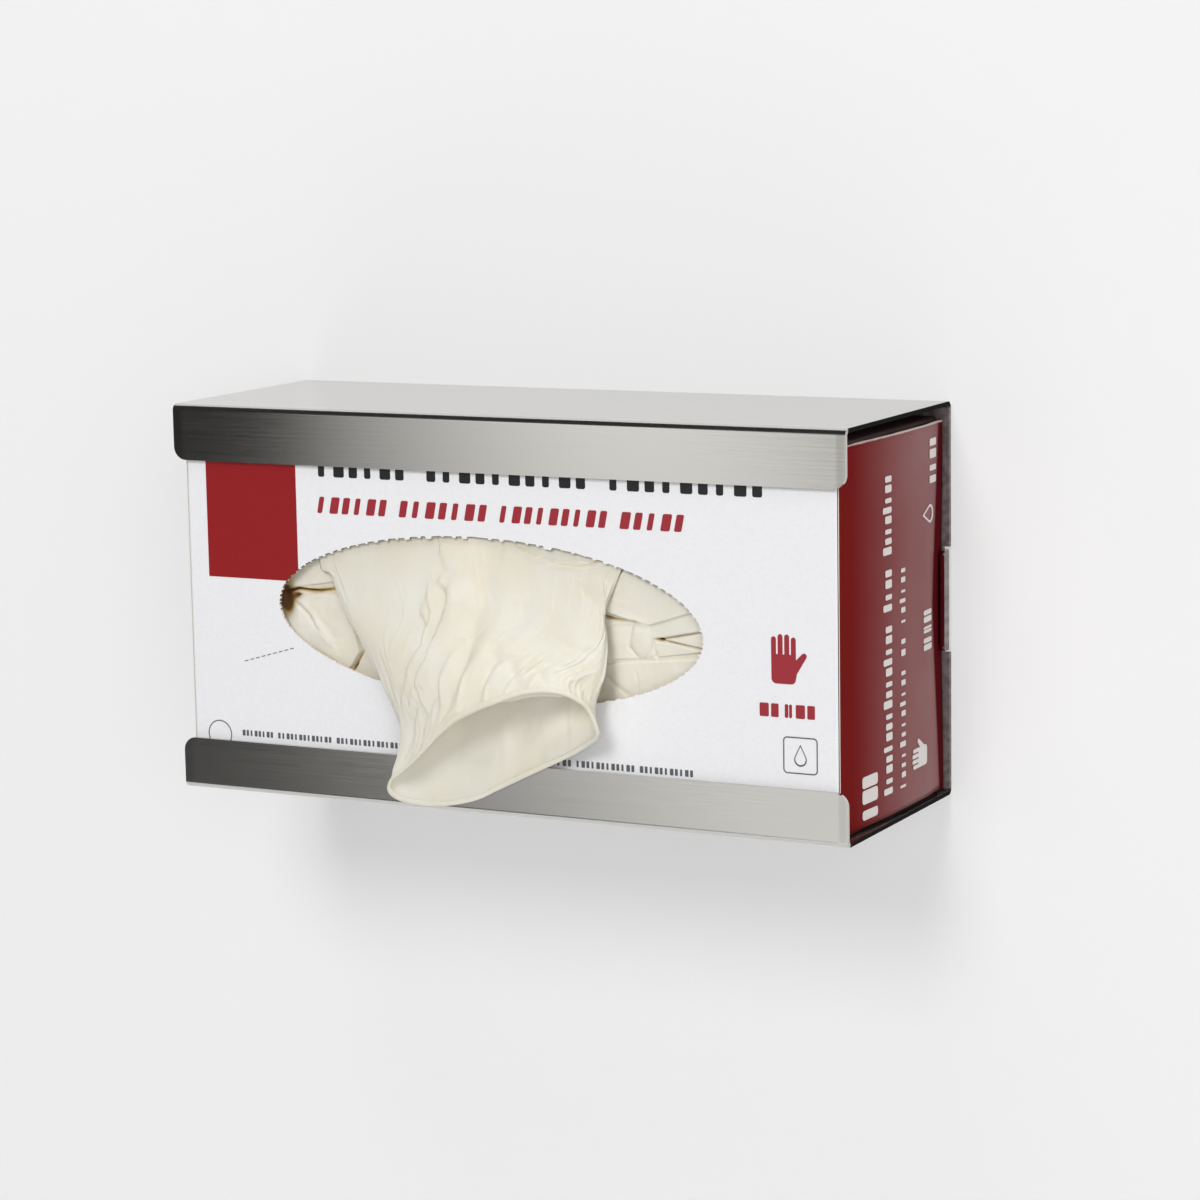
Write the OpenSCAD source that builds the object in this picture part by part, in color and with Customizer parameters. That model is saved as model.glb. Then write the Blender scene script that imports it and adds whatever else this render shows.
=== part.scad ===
// Wall dispenser for disposable gloves.
// A folded sheet-steel holder carries a carton of gloves, and one glove hangs half pulled out of the
// carton's oval window. X runs to the right, Y into the wall and Z up. The origin is the middle of
// the wall face, at the centre of the four fixing holes.

/* [Holder] */
// Width of the holder
holder_w = 250; // [230:1:300]
// Height of the holder
holder_h = 134; // [128:1:160]
// Depth from the wall to the front of the lips
holder_d = 90; // [86:1:110]
// Thickness of the steel sheet
sheet_t = 1.5; // [1:0.1:2]
// Outer radius of the folds
fold_r = 2.2; // [2.1:0.1:4]
// Height of the upper lip
top_lip_h = 19.2; // [14:0.2:24]
// Height of the lower lip
bottom_lip_h = 17.8; // [14:0.2:22]
// Radius of the free corners of the lips
lip_corner_r = 4.6; // [2:0.2:8]

/* [Stop tabs] */
// Height of each stop tab
tab_h = 34; // [20:1:50]
// How far a stop tab stands forward of the wall face
tab_d = 6; // [5:0.5:9]
// Radius of the free corners of a tab
tab_corner_r = 1.5; // [0.5:0.1:3]
// Width of the relief cuts beside a tab
relief_w = 1; // [0.5:0.1:2]

/* [Wall fixing] */
// Distance between the holes across the width
hole_dx = 180; // [120:5:200]
// Distance between the holes up the height
hole_dz = 80; // [50:5:95]
// Diameter of the holes
hole_d = 5.2; // [4:0.1:7]

/* [Carton] */
// Clearance between each end of the carton and the side of the holder
end_clear = 3.5; // [3:0.1:6]
// Clearance between the carton and the upper panel
head_clear = 3.5; // [0.5:0.1:5]
// Clearance between the carton and the lips
lip_clear = 0.3; // [0.1:0.1:1]
// Clearance between the carton and the back plate
back_clear = 1.2; // [0.3:0.1:3]
// Thickness of the board
board_t = 0.7; // [0.5:0.1:1]
// Radius of the folded edges of the board
crease_r = 1.2; // [1.1:0.1:2]
// How far the glued end flaps bow outwards
flap_bow = 2.2; // [1:0.1:2.6]
// How far the end flaps are cut short at the top and bottom
flap_short = 1.2; // [0.5:0.1:3]

/* [Window] */
// Width of the torn window
window_w = 159; // [120:1:180]
// Height of the torn window
window_h = 55; // [45:1:60]
// Place of the window's centre, sideways and up
window_at = [-5.5, -1.7];
// How far the window leans clockwise, in degrees
window_tilt = 1.5; // [0:0.5:3]
// Number of perforation nicks around the edge
nicks = 96; // [60:4:140]
// Depth of a nick
nick_d = 0.7; // [0.3:0.1:1.2]

/* [Gloves] */
// Clearance between the pile of gloves and the carton
pile_clear = 0.6; // [0.3:0.1:3]
// Number of folded layers that show at the side of the pile
pile_layers = 22; // [10:1:40]
// Space between the front of the carton and the pile
pile_back = 8.6; // [7:0.1:12]
// Thickness of the film, drawn thicker than the real 0.15
film_t = 0.8; // [0.6:0.1:1.2]
// Radius of the rolled bead at the cuff
bead_r = 1; // [0.8:0.1:1.5]

/* [Hidden] */
$fn = 48;
EPS = 0.01;

// Holder faces
fold_in_r = fold_r - sheet_t;
inner_top = holder_h / 2 - sheet_t;
inner_bottom = -holder_h / 2 + sheet_t;
lip_inner_y = -holder_d + sheet_t;

// Carton box
carton_w = holder_w - 2 * end_clear;
carton_front = lip_inner_y + lip_clear;
carton_rear = -sheet_t - back_clear;
carton_d = carton_rear - carton_front;
carton_bottom = inner_bottom;
carton_top = inner_top - head_clear;
carton_h = carton_top - carton_bottom;
carton_mid_z = (carton_top + carton_bottom) / 2;
ink_t = 0.12;

// Print on the carton's front, from its left and right edges
block_in = 8;
block_w = 36;
block_low = 7.5;
text_x = -68.5;
size_in = 19;
hand_size = 17;
sign_in = 13.3;
sign_size = 12;

// Space for the gloves
pile_front = carton_front + pile_back;
pile_w = carton_w - 2 * board_t - 2 * pile_clear;
pile_h = carton_h - 2 * board_t;
pile_depth = carton_rear - board_t - pile_clear - pile_front;
pocket = pile_back - board_t;
pile_corner_r = 14;
layer_trim = 0.3;
layer_dip = 1;
fold_base = 1.2;
film_clear = 0.5;

function unit_step(t) = max(0, min(1, t));
function smooth(t) = let (u = unit_step(t)) u * u * (3 - 2 * u);

// Flat outline with rounded corners, centred, in exact arcs
module rounded(size, r) {
    square([size.x - 2 * r, size.y], center = true);
    square([size.x, size.y - 2 * r], center = true);
    for (sx = [-1, 1], sy = [-1, 1])
        translate([sx * (size.x / 2 - r), sy * (size.y / 2 - r)]) circle(r);
}

// Pushes a flat outline drawn as [y, z] along X, centred
module along_x(length) {
    translate([-length / 2, 0, 0]) rotate([90, 0, 90]) linear_extrude(length) children();
}

// Pushes a flat outline drawn as [x, z] along Y, from y_low up
module along_y(y_low, length) {
    translate([0, y_low + length, 0]) rotate([90, 0, 0]) linear_extrude(length) children();
}

// What a square corner loses to a radius, with the corner at the origin and the metal at -X and +Z
module corner_waste(r) {
    difference() {
        translate([-r, -1]) square([r + 1, r + 1]);
        translate([-r, r]) circle(r);
    }
}

// Side section of the folded sheet
module sheet_section() {
    difference() {
        translate([-holder_d / 2, 0]) rounded([holder_d, holder_h], fold_r);
        translate([-holder_d / 2, 0])
            rounded([holder_d - 2 * sheet_t, holder_h - 2 * sheet_t], fold_in_r);
        translate([-holder_d - 1, -holder_h / 2 + bottom_lip_h])
            square([sheet_t + 1.5, holder_h - top_lip_h - bottom_lip_h]);
    }
}

// Stop tab folded forward from the right edge of the back plate
module stop_tab() {
    bend_at = [holder_w / 2 - fold_r, -fold_r];
    intersection() {
        translate([0, 0, -tab_h / 2]) linear_extrude(tab_h) difference() {
            union() {
                translate([bend_at.x, -tab_d]) square([fold_r, tab_d - fold_r]);
                translate([bend_at.x - EPS, bend_at.y]) square([fold_r + EPS, fold_r]);
            }
            translate([bend_at.x - 1, -tab_d - 1]) square([fold_in_r + 1, tab_d + 1 - fold_r]);
            translate(bend_at) circle(fold_in_r);
            difference() {
                translate(bend_at) square(fold_r + 1);
                translate(bend_at) circle(fold_r);
            }
        }
        along_x(holder_w + 2) rounded([2 * tab_d, tab_h], tab_corner_r);
    }
}

module holder() {
    color("silver") {
        difference() {
            along_x(holder_w) sheet_section();
            for (sx = [-1, 1]) mirror([sx < 0 ? 1 : 0, 0, 0]) {
                // Free corners of the lips
                along_y(-holder_d - 1, sheet_t + 1.2) {
                    translate([holder_w / 2, holder_h / 2 - top_lip_h]) corner_waste(lip_corner_r);
                    translate([holder_w / 2, -holder_h / 2 + bottom_lip_h]) mirror([0, 1])
                        corner_waste(lip_corner_r);
                }
                // Edge strip of the back plate that folds forward, with its relief cuts
                translate([holder_w / 2 - fold_r, -sheet_t - 1, -tab_h / 2 - relief_w])
                    cube([fold_r + 1, sheet_t + 2, tab_h + 2 * relief_w]);
                for (sz = [-1, 1])
                    translate([hole_dx / 2, 1, sz * hole_dz / 2]) rotate([90, 0, 0])
                        cylinder(d = hole_d, h = sheet_t + 2);
            }
        }
        for (sx = [-1, 1]) mirror([sx < 0 ? 1 : 0, 0, 0]) stop_tab();
    }
}

// Outline of the torn window, with small nicks left by the perforation
module window_outline() {
    steps = nicks * 3;
    translate(window_at) rotate(-window_tilt)
        polygon([for (i = [0:steps - 1])
            let (a = 360 * i / steps, grow = i % 3 == 0 ? nick_d / 2 : -nick_d / 4)
            [(window_w / 2 + grow) * cos(a), (window_h / 2 + grow) * sin(a)]]);
}

// Bowed ring segment that an end flap is cut from, drawn as [x, y], for the right end
module flap_arc(grow_in, grow_out) {
    chord = carton_d - 2 * crease_r;
    arc_r = (chord * chord / 4 + flap_bow * flap_bow) / (2 * flap_bow);
    intersection() {
        translate([carton_w / 2 + flap_bow - arc_r, carton_front + carton_d / 2]) difference() {
            circle(arc_r + grow_out, $fn = 360);
            circle(arc_r - grow_in, $fn = 360);
        }
        translate([carton_w / 2 - board_t, carton_front + crease_r - 0.5])
            square([flap_bow + 2 * board_t, chord + 0.5]);
    }
}

module end_flap() {
    translate([0, 0, carton_bottom + flap_short])
        linear_extrude(carton_h - 2 * flap_short) flap_arc(board_t, 0);
}

// White marks on the end flap, each as [y, z, depth, height]
END_MARKS = [[-66, -54, 12, 16], [-52, 16, 7, 70], [-52, -36, 7, 22], [-40, -22, 5, 78],
             [-24, -52, 12, 20], [-18.5, -7.5, 9, 19], [-16, 31, 9, 16], [-12.5, 49, 8, 18]];

module end_print() {
    intersection() {
        translate([0, 0, carton_bottom + flap_short])
            linear_extrude(carton_h - 2 * flap_short) flap_arc(EPS, ink_t);
        for (m = END_MARKS)
            translate([carton_w / 2 - 1, m[0] - m[2] / 2, m[1] - m[3] / 2])
                cube([flap_bow + 3, m[2], m[3]]);
    }
}

// A printed field on the front, by its left and lower edges
module ink(x, z, w, h) {
    translate([x, carton_front - ink_t, z]) cube([w, ink_t + EPS, h]);
}

// Sum of a list of numbers or points, up to and with the entry at last
function sum_to(list, last) = last == 0 ? list[0] : list[last] + sum_to(list, last - 1);
function sum(list) = sum_to(list, len(list) - 1);

// A line of print, as one bar for each word
module word_bars(x, z, h, words, gap) {
    for (i = [0:len(words) - 1])
        ink(x + sum_to(words, i) - words[i] + gap * i, z, words[i], h);
}

// Plain sign of an open hand
module hand_sign(x, z, size) {
    along_y(carton_front - ink_t, ink_t + EPS) translate([x, z]) {
        translate([0, size * 0.28]) rounded([size * 0.5, size * 0.56], size * 0.12);
        for (i = [-1.5:1:1.5]) translate([i * size * 0.135, size * (0.72 - abs(i) * 0.035)])
            rounded([size * 0.1, size * 0.5], size * 0.045);
        translate([size * 0.34, size * 0.38]) rotate(-38)
            rounded([size * 0.11, size * 0.42], size * 0.05);
    }
}

// Plain frame with a drop in it
module square_sign(x, z, size) {
    along_y(carton_front - ink_t, ink_t + EPS) translate([x, z]) {
        difference() {
            rounded([size, size], size * 0.12);
            rounded([size * 0.92, size * 0.92], size * 0.09);
        }
        translate([0, -size * 0.08]) circle(size * 0.2);
        translate([0, -size * 0.08]) polygon([[-size * 0.18, size * 0.09], [0, size * 0.42],
            [size * 0.18, size * 0.09]]);
    }
}

TITLE_WORDS = [28, 70, 57];
SUBTITLE_WORDS = [28.5, 35, 41, 24.5];
SIZE_WORDS = [7, 3, 6.5];
SMALL_WORDS = [[12, 49], [5, 22, 19]];

module front_print() {
    left = -carton_w / 2;
    right = carton_w / 2;
    color("firebrick") {
        difference() {
            ink(left + block_in, block_low, block_w, carton_top - crease_r - block_low);
            along_y(carton_front - 1, board_t + 2) window_outline();
        }
        word_bars(text_x, 31.8, 5, SUBTITLE_WORDS, 3.2);
        hand_sign(right - size_in, -16, hand_size);
        word_bars(right - size_in - 8.5, -25.6, 3.2, SIZE_WORDS, 1.6);
    }
    color("dimgray") {
        word_bars(text_x, 45, 6, TITLE_WORDS, 6);
        word_bars(left + 19.5, -47.4, 1.6, SMALL_WORDS[0], 1.5);
        word_bars(text_x + 90, -48, 1.6, SMALL_WORDS[1], 1);
        square_sign(right - sign_in, -38.4, sign_size);
    }
}

module carton() {
    color("white") difference() {
        intersection() {
            along_x(carton_w) translate([carton_front + carton_d / 2, carton_mid_z])
                rounded([carton_d, carton_h], crease_r);
            translate([0, carton_front + carton_d / 2, carton_bottom - 1]) linear_extrude(carton_h + 2)
                rounded([carton_w, carton_d], crease_r);
        }
        translate([0, carton_front + carton_d / 2, carton_mid_z])
            cube([carton_w - 2 * board_t, carton_d - 2 * board_t, carton_h - 2 * board_t],
                 center = true);
        along_y(carton_front - 1, board_t + 2) window_outline();
    }
    color("firebrick") for (sx = [-1, 1]) mirror([sx < 0 ? 1 : 0, 0, 0]) end_flap();
    color("white") end_print();
    front_print();
}

// Pile of flat folded gloves: at its sides each layer shows as a bulge with a crease after it
module glove_stack() {
    layer = pile_depth / pile_layers;
    edge = [for (i = [0:pile_layers - 1]) let (far = pile_w / 2 - layer_trim * (i * 4 % 5))
        each [[far - layer_dip, i], [far, i + 0.25], [far, i + 0.75]]];
    outline = concat(edge, [[pile_w / 2 - layer_dip, pile_layers]]);
    last = len(outline) - 1;
    color("cornsilk") translate([0, 0, carton_mid_z - pile_clear / 2]) intersection() {
        linear_extrude(pile_h - pile_clear, center = true) polygon(concat(
            [for (p = outline) [p.x, pile_front + layer * p.y]],
            [for (i = [last:-1:0]) [-outline[i].x, pile_front + layer * outline[i].y]]));
        along_y(pile_front - 1, pile_depth + 2) rounded([pile_w, pile_h - pile_clear], pile_corner_r);
    }
}

// Distance of a point from the line through a and b, positive on its left
function side(p, a, b) = let (d = b - a) (d.x * (p.y - a.y) - d.y * (p.x - a.x)) / norm(d);

// Height of a folded edge that rolls up over the width w
function rolled(d, w) = d <= 0 ? 0 : d >= w ? 1 : sqrt(1 - pow(1 - d / w, 2));

// Height of one flat fold: bounded by lines, w wide at its rolled edge, h high
function fold_height(p, fold) =
    let (d = min([for (l = fold[0]) side(p, l[0], l[1])])) fold[2] * rolled(d, fold[1]);

// Left edge of the pulled glove at height z, and its right edge
function glove_left(z) = -66 + 26 * smooth((16 - z) / 46);
function glove_right(z) = 41 + 2 * sin(unit_step((25 - z) / 50) * 180);

// Folds that show left of the pulled glove: [lines, roll width, height]
LEFT_FOLDS = [
    [[[[-88, 7.6], [-40, 15.5]]], 6, 4.4],
    [[[[-40, 14.5], [-88, 6.6]], [[-80, 12], [-87, -14]], [[-61, -24], [-53, -10]]], 9, 5.8],
    [[[[-53, -10], [-61, -24]]], 5, 3.8]];

// Folds that show right of the pulled glove
RIGHT_FOLDS = [
    [[[[47, 25], [37, 7]], [[37, 7], [51, 1.8]], [[52, -0.3], [84, 11.2]]], 3, 6],
    [[[[84, 11.2], [52, -0.3]], [[53, -0.5], [84, -1]], [[53, 10], [53, -10]]], 2.5, 5.4],
    [[[[84, -1], [53, -0.5]], [[53, -0.5], [84, -9.2]]], 2.5, 4.8],
    [[[[84, -9.2], [53, -0.5]], [[40, -12], [84, -9]]], 3, 4.4],
    [[[[41, 8], [41, -10]], [[53, -11], [53, 3]], [[53, 3], [41, 5.5]], [[41, -12], [53, -11]]], 5, 5.8],
    [[[[84, -8], [36, -13.5]]], 4, 5.6]];

// Front of a folded glove as a heightfield over the pile, sunk where the pulled glove covers it
function glove_front(p, folds) =
    let (open = p.x < 0 ? glove_left(p.y) - p.x : p.x - glove_right(p.y),
         room = smooth((open + 3) / 7),
         top = max([for (f = folds) fold_height(p, f)]))
    fold_base + room * min(top, pocket - fold_base - film_clear);

// Closed solid between the pile and a heightfield on a grid from low to high
module folded_glove(low, high, columns, rows, folds) {
    cols = columns + 1;
    at = function (i, j) [low.x + (high.x - low.x) * i / columns,
                          low.y + (high.y - low.y) * j / rows];
    rim = function (i, j) i == 0 || j == 0 || i == columns || j == rows;
    front = [for (j = [0:rows], i = [0:columns]) let (p = at(i, j))
        [p.x, pile_front - (rim(i, j) ? fold_base : glove_front(p, folds)), p.y]];
    count = len(front);
    middle = [(low.x + high.x) / 2, pile_front, (low.y + high.y) / 2];
    edge = concat([for (i = [0:columns]) i], [for (j = [1:rows]) j * cols + columns],
                  [for (i = [columns - 1:-1:0]) rows * cols + i],
                  [for (j = [rows - 1:-1:1]) j * cols]);
    back_edge = [for (e = edge) [front[e].x, pile_front, front[e].z]];
    polyhedron(concat(front, back_edge, [middle]), concat(
        [for (j = [0:rows - 1], i = [0:columns - 1]) let (k = j * cols + i)
            each [[k, k + cols, k + 1], [k + 1, k + cols, k + cols + 1]]],
        [for (n = [0:len(edge) - 1]) let (m = (n + 1) % len(edge))
            each [[edge[n], edge[m], count + m], [edge[n], count + m, count + n]]],
        [for (n = [0:len(edge) - 1])
            [count + n, count + (n + 1) % len(edge), count + len(edge)]]));
}

module second_glove() {
    color("cornsilk") folded_glove([-90, -33], [-26, 30], 28, 28, LEFT_FOLDS);
}

module third_glove() {
    color("cornsilk") folded_glove([28, -33], [80, 30], 28, 30, RIGHT_FOLDS);
}

// Rails that the pulled glove is lofted along, from inside the carton to the cuff,
// with Y counted from the carton's front face
LEFT_RAIL = [[-66, 3, 36], [-67, 2.2, 17], [-58.5, -1.3, -1], [-51, -3.8, -12],
             [-41, -6.8, -26], [-33.5, -9.8, -41], [-37.5, -11.8, -57.5]];
RIGHT_RAIL = [[36, 3, 38], [40.5, 2.2, 19], [40, -2.3, 5], [41, -4.8, -5],
              [40.5, -7.3, -15], [41, -9.8, -24], [42, -11.8, -32]];
FRONT_RAIL = [[-15, 1.1, 37], [-14, 1, 22], [-8, -4.8, 5], [-4, -8.8, -5],
              [0, -13.3, -13], [2.5, -17.3, -19], [3, -19.8, -23.8]];
BACK_RAIL = [[-15, 4.2, 37], [-14, 3.6, 18], [-8, 1.4, -1], [-4, -0.2, -12],
             [0, -1.2, -25], [-3, -2.6, -42], [-7.5, -3.4, -58.8]];

// Smooth curve through the points of a rail, t from 0 to 1
function along(rail, t) =
    let (last = len(rail) - 1, s = unit_step(t) * last, k = min(floor(s), last - 1), u = s - k,
         a = rail[max(k - 1, 0)], b = rail[k], c = rail[k + 1], d = rail[min(k + 2, last)])
    0.5 * (2 * b + (c - a) * u + (2 * a - 5 * b + 4 * c - d) * u * u
        + (3 * b - a - 3 * c + d) * u * u * u);

// Lengthwise creases in the film: [angle at the window, angle at the cuff, width, depth]
CREASES = [[128, 150, 9, 2], [108, 132, 8, 2.4], [92, 114, 8, 1.8], [74, 98, 8, 1.8],
           [54, 74, 9, 1.2]];
function crease_depth(t, a) =
    let (swell = smooth((t - 0.14) / 0.22) * (1 - smooth((t - 0.76) / 0.24)))
    swell * sum([for (c = CREASES) let (m = c[0] + (c[1] - c[0]) * t)
        c[3] * exp(-pow((a - m) / c[2], 2))]);

// Point of the film at t down the glove and angle a around it, moved inwards by inset
function film_point(t, a, inset) =
    let (l = along(LEFT_RAIL, t), r = along(RIGHT_RAIL, t), m = (l + r) / 2,
         f = along(FRONT_RAIL, t) - m, k = along(BACK_RAIL, t) - m,
         depth = sin(a) >= 0 ? f : k, half = (r - l) / 2,
         fullness = pow(abs(sin(a)), 0.85),
         shrink = max(0, 1 - inset / norm(depth)))
    m + half * cos(a) * (1 - inset / norm(half)) + depth * fullness * shrink
        + [0, crease_depth(t, a), 0];

// Open-cuffed glove: an outer skin, a rolled bead at the rim and an inner skin
module pulled_glove() {
    around = 72;
    outer_rings = 24;
    hollow_from = 0.3;
    inner_rings = 16;
    bead_steps = 5;
    skin = [for (i = [0:outer_rings - 1]) [i / outer_rings, 0]];
    lining = [for (i = [inner_rings - 1:-1:0])
        [hollow_from + (1 - hollow_from) * i / inner_rings, film_t]];
    ring = function (t, inset) [for (n = [0:around - 1]) film_point(t, 360 * n / around, inset)];
    down = function (a) let (d = film_point(1, a, 0) - film_point(0.97, a, 0)) d / norm(d);
    out = function (a) let (d = film_point(1, a, 0) - film_point(1, a, film_t)) d / norm(d);
    bead = function (s) [for (n = [0:around - 1]) let (a = 360 * n / around)
        film_point(1, a, film_t / 2) + bead_r * (out(a) * cos(s) + down(a) * sin(s))];
    rings = concat([for (s = skin) ring(s[0], s[1])],
        [for (b = [0:bead_steps]) bead(-50 + 280 * b / bead_steps)],
        [for (s = lining) ring(s[0], s[1])]);
    last = len(rings) - 1;
    points = concat([for (r = rings) each r], [sum(rings[0]) / around, sum(rings[last]) / around]);
    start_cap = len(points) - 2;
    end_cap = len(points) - 1;
    color("cornsilk") translate([0, carton_front, 0]) polyhedron(points, concat(
        [for (r = [0:last - 1], n = [0:around - 1])
            let (k = r * around + n, m = r * around + (n + 1) % around)
            each [[k, k + around, m], [m, k + around, m + around]]],
        [for (n = [0:around - 1]) [start_cap, n, (n + 1) % around]],
        [for (n = [0:around - 1]) let (k = last * around)
            [end_cap, k + (n + 1) % around, k + n]]));
}

holder();
carton();
glove_stack();
second_glove();
third_glove();
pulled_glove();
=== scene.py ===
"""Wall dispenser for disposable gloves: a brushed steel holder, a carton of gloves and one glove
hanging half out of its window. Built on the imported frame, in metres, with X to the right, Y into
the wall and Z up."""
import math

import bmesh
import bpy
from mathutils import Matrix, Quaternion, Vector, noise


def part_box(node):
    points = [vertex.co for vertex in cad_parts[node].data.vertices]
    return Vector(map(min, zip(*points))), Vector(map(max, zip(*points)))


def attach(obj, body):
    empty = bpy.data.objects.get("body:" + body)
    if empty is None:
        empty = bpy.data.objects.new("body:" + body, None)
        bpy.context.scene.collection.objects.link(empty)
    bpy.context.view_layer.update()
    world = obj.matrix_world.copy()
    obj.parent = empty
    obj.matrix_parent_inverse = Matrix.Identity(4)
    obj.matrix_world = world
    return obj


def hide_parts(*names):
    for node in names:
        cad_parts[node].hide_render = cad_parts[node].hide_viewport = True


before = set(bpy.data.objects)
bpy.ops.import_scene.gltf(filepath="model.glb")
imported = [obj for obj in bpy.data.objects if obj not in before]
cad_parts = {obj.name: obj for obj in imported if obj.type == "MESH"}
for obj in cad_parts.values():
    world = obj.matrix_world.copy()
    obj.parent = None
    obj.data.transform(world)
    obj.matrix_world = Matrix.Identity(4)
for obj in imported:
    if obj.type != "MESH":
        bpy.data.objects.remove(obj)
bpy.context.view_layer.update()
MM = 0.001

HOLDER_LOW, HOLDER_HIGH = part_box("holder")
CARTON_LOW, CARTON_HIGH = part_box("carton")

# Sheet and carton sizes that follow the part's source
SHEET = 1.5 * MM
INK_PROUD = 0.12 * MM
BOARD = 0.7 * MM
CREASE_R = 1.2 * MM
CARTON_FRONT = CARTON_LOW.y + INK_PROUD
CARTON_REAR = CARTON_HIGH.y
CARTON_DEPTH = CARTON_REAR - CARTON_FRONT
CARTON_BOTTOM = CARTON_LOW.z
CARTON_TOP = CARTON_HIGH.z
CARTON_HALF = 121.5 * MM
WINDOW_AT = Vector((-5.5, -1.7)) * MM
WINDOW_SIZE = Vector((159, 55)) * MM
WINDOW_TILT = math.radians(-1.5)


# Small helpers

def smooth(x):
    """Soft step from 0 to 1."""
    u = min(1.0, max(0.0, x))
    return u * u * (3 - 2 * u)


def mix(a, b, share):
    """Value at a share of the way from a to b."""
    return a + (b - a) * share


def add_object(name, data):
    """Puts a new object into the scene."""
    obj = bpy.data.objects.new(name, data)
    bpy.context.scene.collection.objects.link(obj)
    return obj


def new_object(name, bm, materials):
    """Makes a mesh object at the origin from a bmesh."""
    mesh = bpy.data.meshes.new(name)
    bm.to_mesh(mesh)
    bm.free()
    for material in materials:
        mesh.materials.append(material)
    return add_object(name, mesh)


def round_edges(bm, edges, by, steps):
    """Rounds edges of a bmesh."""
    bmesh.ops.bevel(bm, geom=edges, offset=by, offset_type="OFFSET", segments=steps, profile=0.5,
                    affect="EDGES", clamp_overlap=True, material=-1)


def shade_smooth(obj, angle=35):
    """Smooth faces, with edges sharper than the angle kept sharp."""
    mesh = obj.data
    mesh.polygons.foreach_set("use_smooth", [True] * len(mesh.polygons))
    mesh.set_sharp_from_angle(angle=math.radians(angle))


def weighted_normals(obj):
    """Large flat faces keep their own shading beside narrow bends."""
    modifier = obj.modifiers.new("even_shading", "WEIGHTED_NORMAL")
    modifier.mode = "FACE_AREA"
    modifier.keep_sharp = True


def cad_copy(node):
    """A bmesh of a CAD node with its loose triangles merged into closed faces."""
    bm = bmesh.new()
    bm.from_mesh(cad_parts[node].data)
    bmesh.ops.remove_doubles(bm, verts=bm.verts, dist=0.002 * MM)
    return bm


# Node helpers

class Nodes:
    """Short calls for a node tree."""

    def __init__(self, tree):
        self.tree = tree

    def add(self, kind, **settings):
        """A new node with its settings."""
        node = self.tree.nodes.new(kind)
        for name, value in settings.items():
            setattr(node, name, value)
        return node

    def link(self, source, target):
        self.tree.links.new(source, target)

    def put(self, target, value):
        """Links a socket, or sets a plain value."""
        if isinstance(value, bpy.types.NodeSocket):
            self.link(value, target)
        else:
            target.default_value = value

    def fill(self, node, **values):
        """Links or sets a node's named inputs, with an underscore for a space."""
        for name, value in values.items():
            self.put(node.inputs[name.replace("_", " ")], value)
        return node

    def math(self, operation, a, b=0.0):
        """Result of a sum or function of one or two values."""
        node = self.add("ShaderNodeMath", operation=operation)
        self.put(node.inputs[0], a)
        self.put(node.inputs[1], b)
        return node.outputs[0]

    def remap(self, value, low, high, to_low=0.0, to_high=1.0, soft=True):
        """Value taken from one range to another and held at its ends."""
        node = self.add("ShaderNodeMapRange", interpolation_type="SMOOTHSTEP" if soft else "LINEAR")
        self.fill(node, Value=value, From_Min=low, From_Max=high, To_Min=to_low, To_Max=to_high)
        return node.outputs["Result"]

    def blend(self, share, a, b, mode="MIX"):
        """Colour between a and b."""
        node = self.add("ShaderNodeMix", data_type="RGBA", blend_type=mode)
        self.put(node.inputs["Factor"], share)
        self.put(node.inputs[6], a)
        self.put(node.inputs[7], b)
        return node.outputs[2]

    def object_point(self, scale=(1, 1, 1)):
        """Object coordinates, scaled."""
        place = self.add("ShaderNodeTexCoord")
        mapping = self.add("ShaderNodeMapping")
        self.fill(mapping, Vector=place.outputs["Object"], Scale=scale)
        return mapping.outputs["Vector"]

    def axes(self, kind="Object"):
        """X, Y and Z of one kind of coordinates."""
        place = self.add("ShaderNodeTexCoord")
        split = self.fill(self.add("ShaderNodeSeparateXYZ"), Vector=place.outputs[kind])
        return split.outputs["X"], split.outputs["Y"], split.outputs["Z"]

    def attribute(self, name):
        """Value of one of the mesh's own float layers."""
        return self.add("ShaderNodeAttribute", attribute_name=name).outputs["Fac"]

    def noise(self, point, scale, detail=3.0, rough=0.5):
        """Cloudy noise from 0 to 1, scale in cells per metre."""
        node = self.add("ShaderNodeTexNoise")
        self.fill(node, Vector=point, Scale=scale, Detail=detail, Roughness=rough)
        return node.outputs["Fac"]

    def bump(self, height, strength, distance, over=None):
        """Normal that follows a height, over another normal if one is given."""
        node = self.add("ShaderNodeBump")
        self.fill(node, Height=height, Strength=strength, Distance=distance)
        if over:
            self.fill(node, Normal=over)
        return node.outputs["Normal"]


def srgb(r, g, b):
    """Linear colour of an sRGB colour in 0 to 255."""
    linear = [((c / 255 + 0.055) / 1.055) ** 2.4 if c > 10 else c / 255 / 12.92 for c in (r, g, b)]
    return (*linear, 1.0)


def principled(name, **values):
    """A material with one Principled BSDF, whose named sockets are set."""
    material = bpy.data.materials.new(name)
    material.use_nodes = True
    nodes = Nodes(material.node_tree)
    shader = nodes.fill(material.node_tree.nodes["Principled BSDF"], **values)
    return material, nodes, shader


# Materials

# Cells per metre of the brushed grain and of its clouds, along X, Y and Z
LONG_GRAIN = (14, 1900, 1900)
SHORT_GRAIN = (90, 3600, 3600)
STEEL_CLOUDS = (9, 22, 22)
# The sheared ends of the sheet curl a little
CURL_WIDE = 3.4 * MM
CURL = 0.09 * MM


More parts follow.
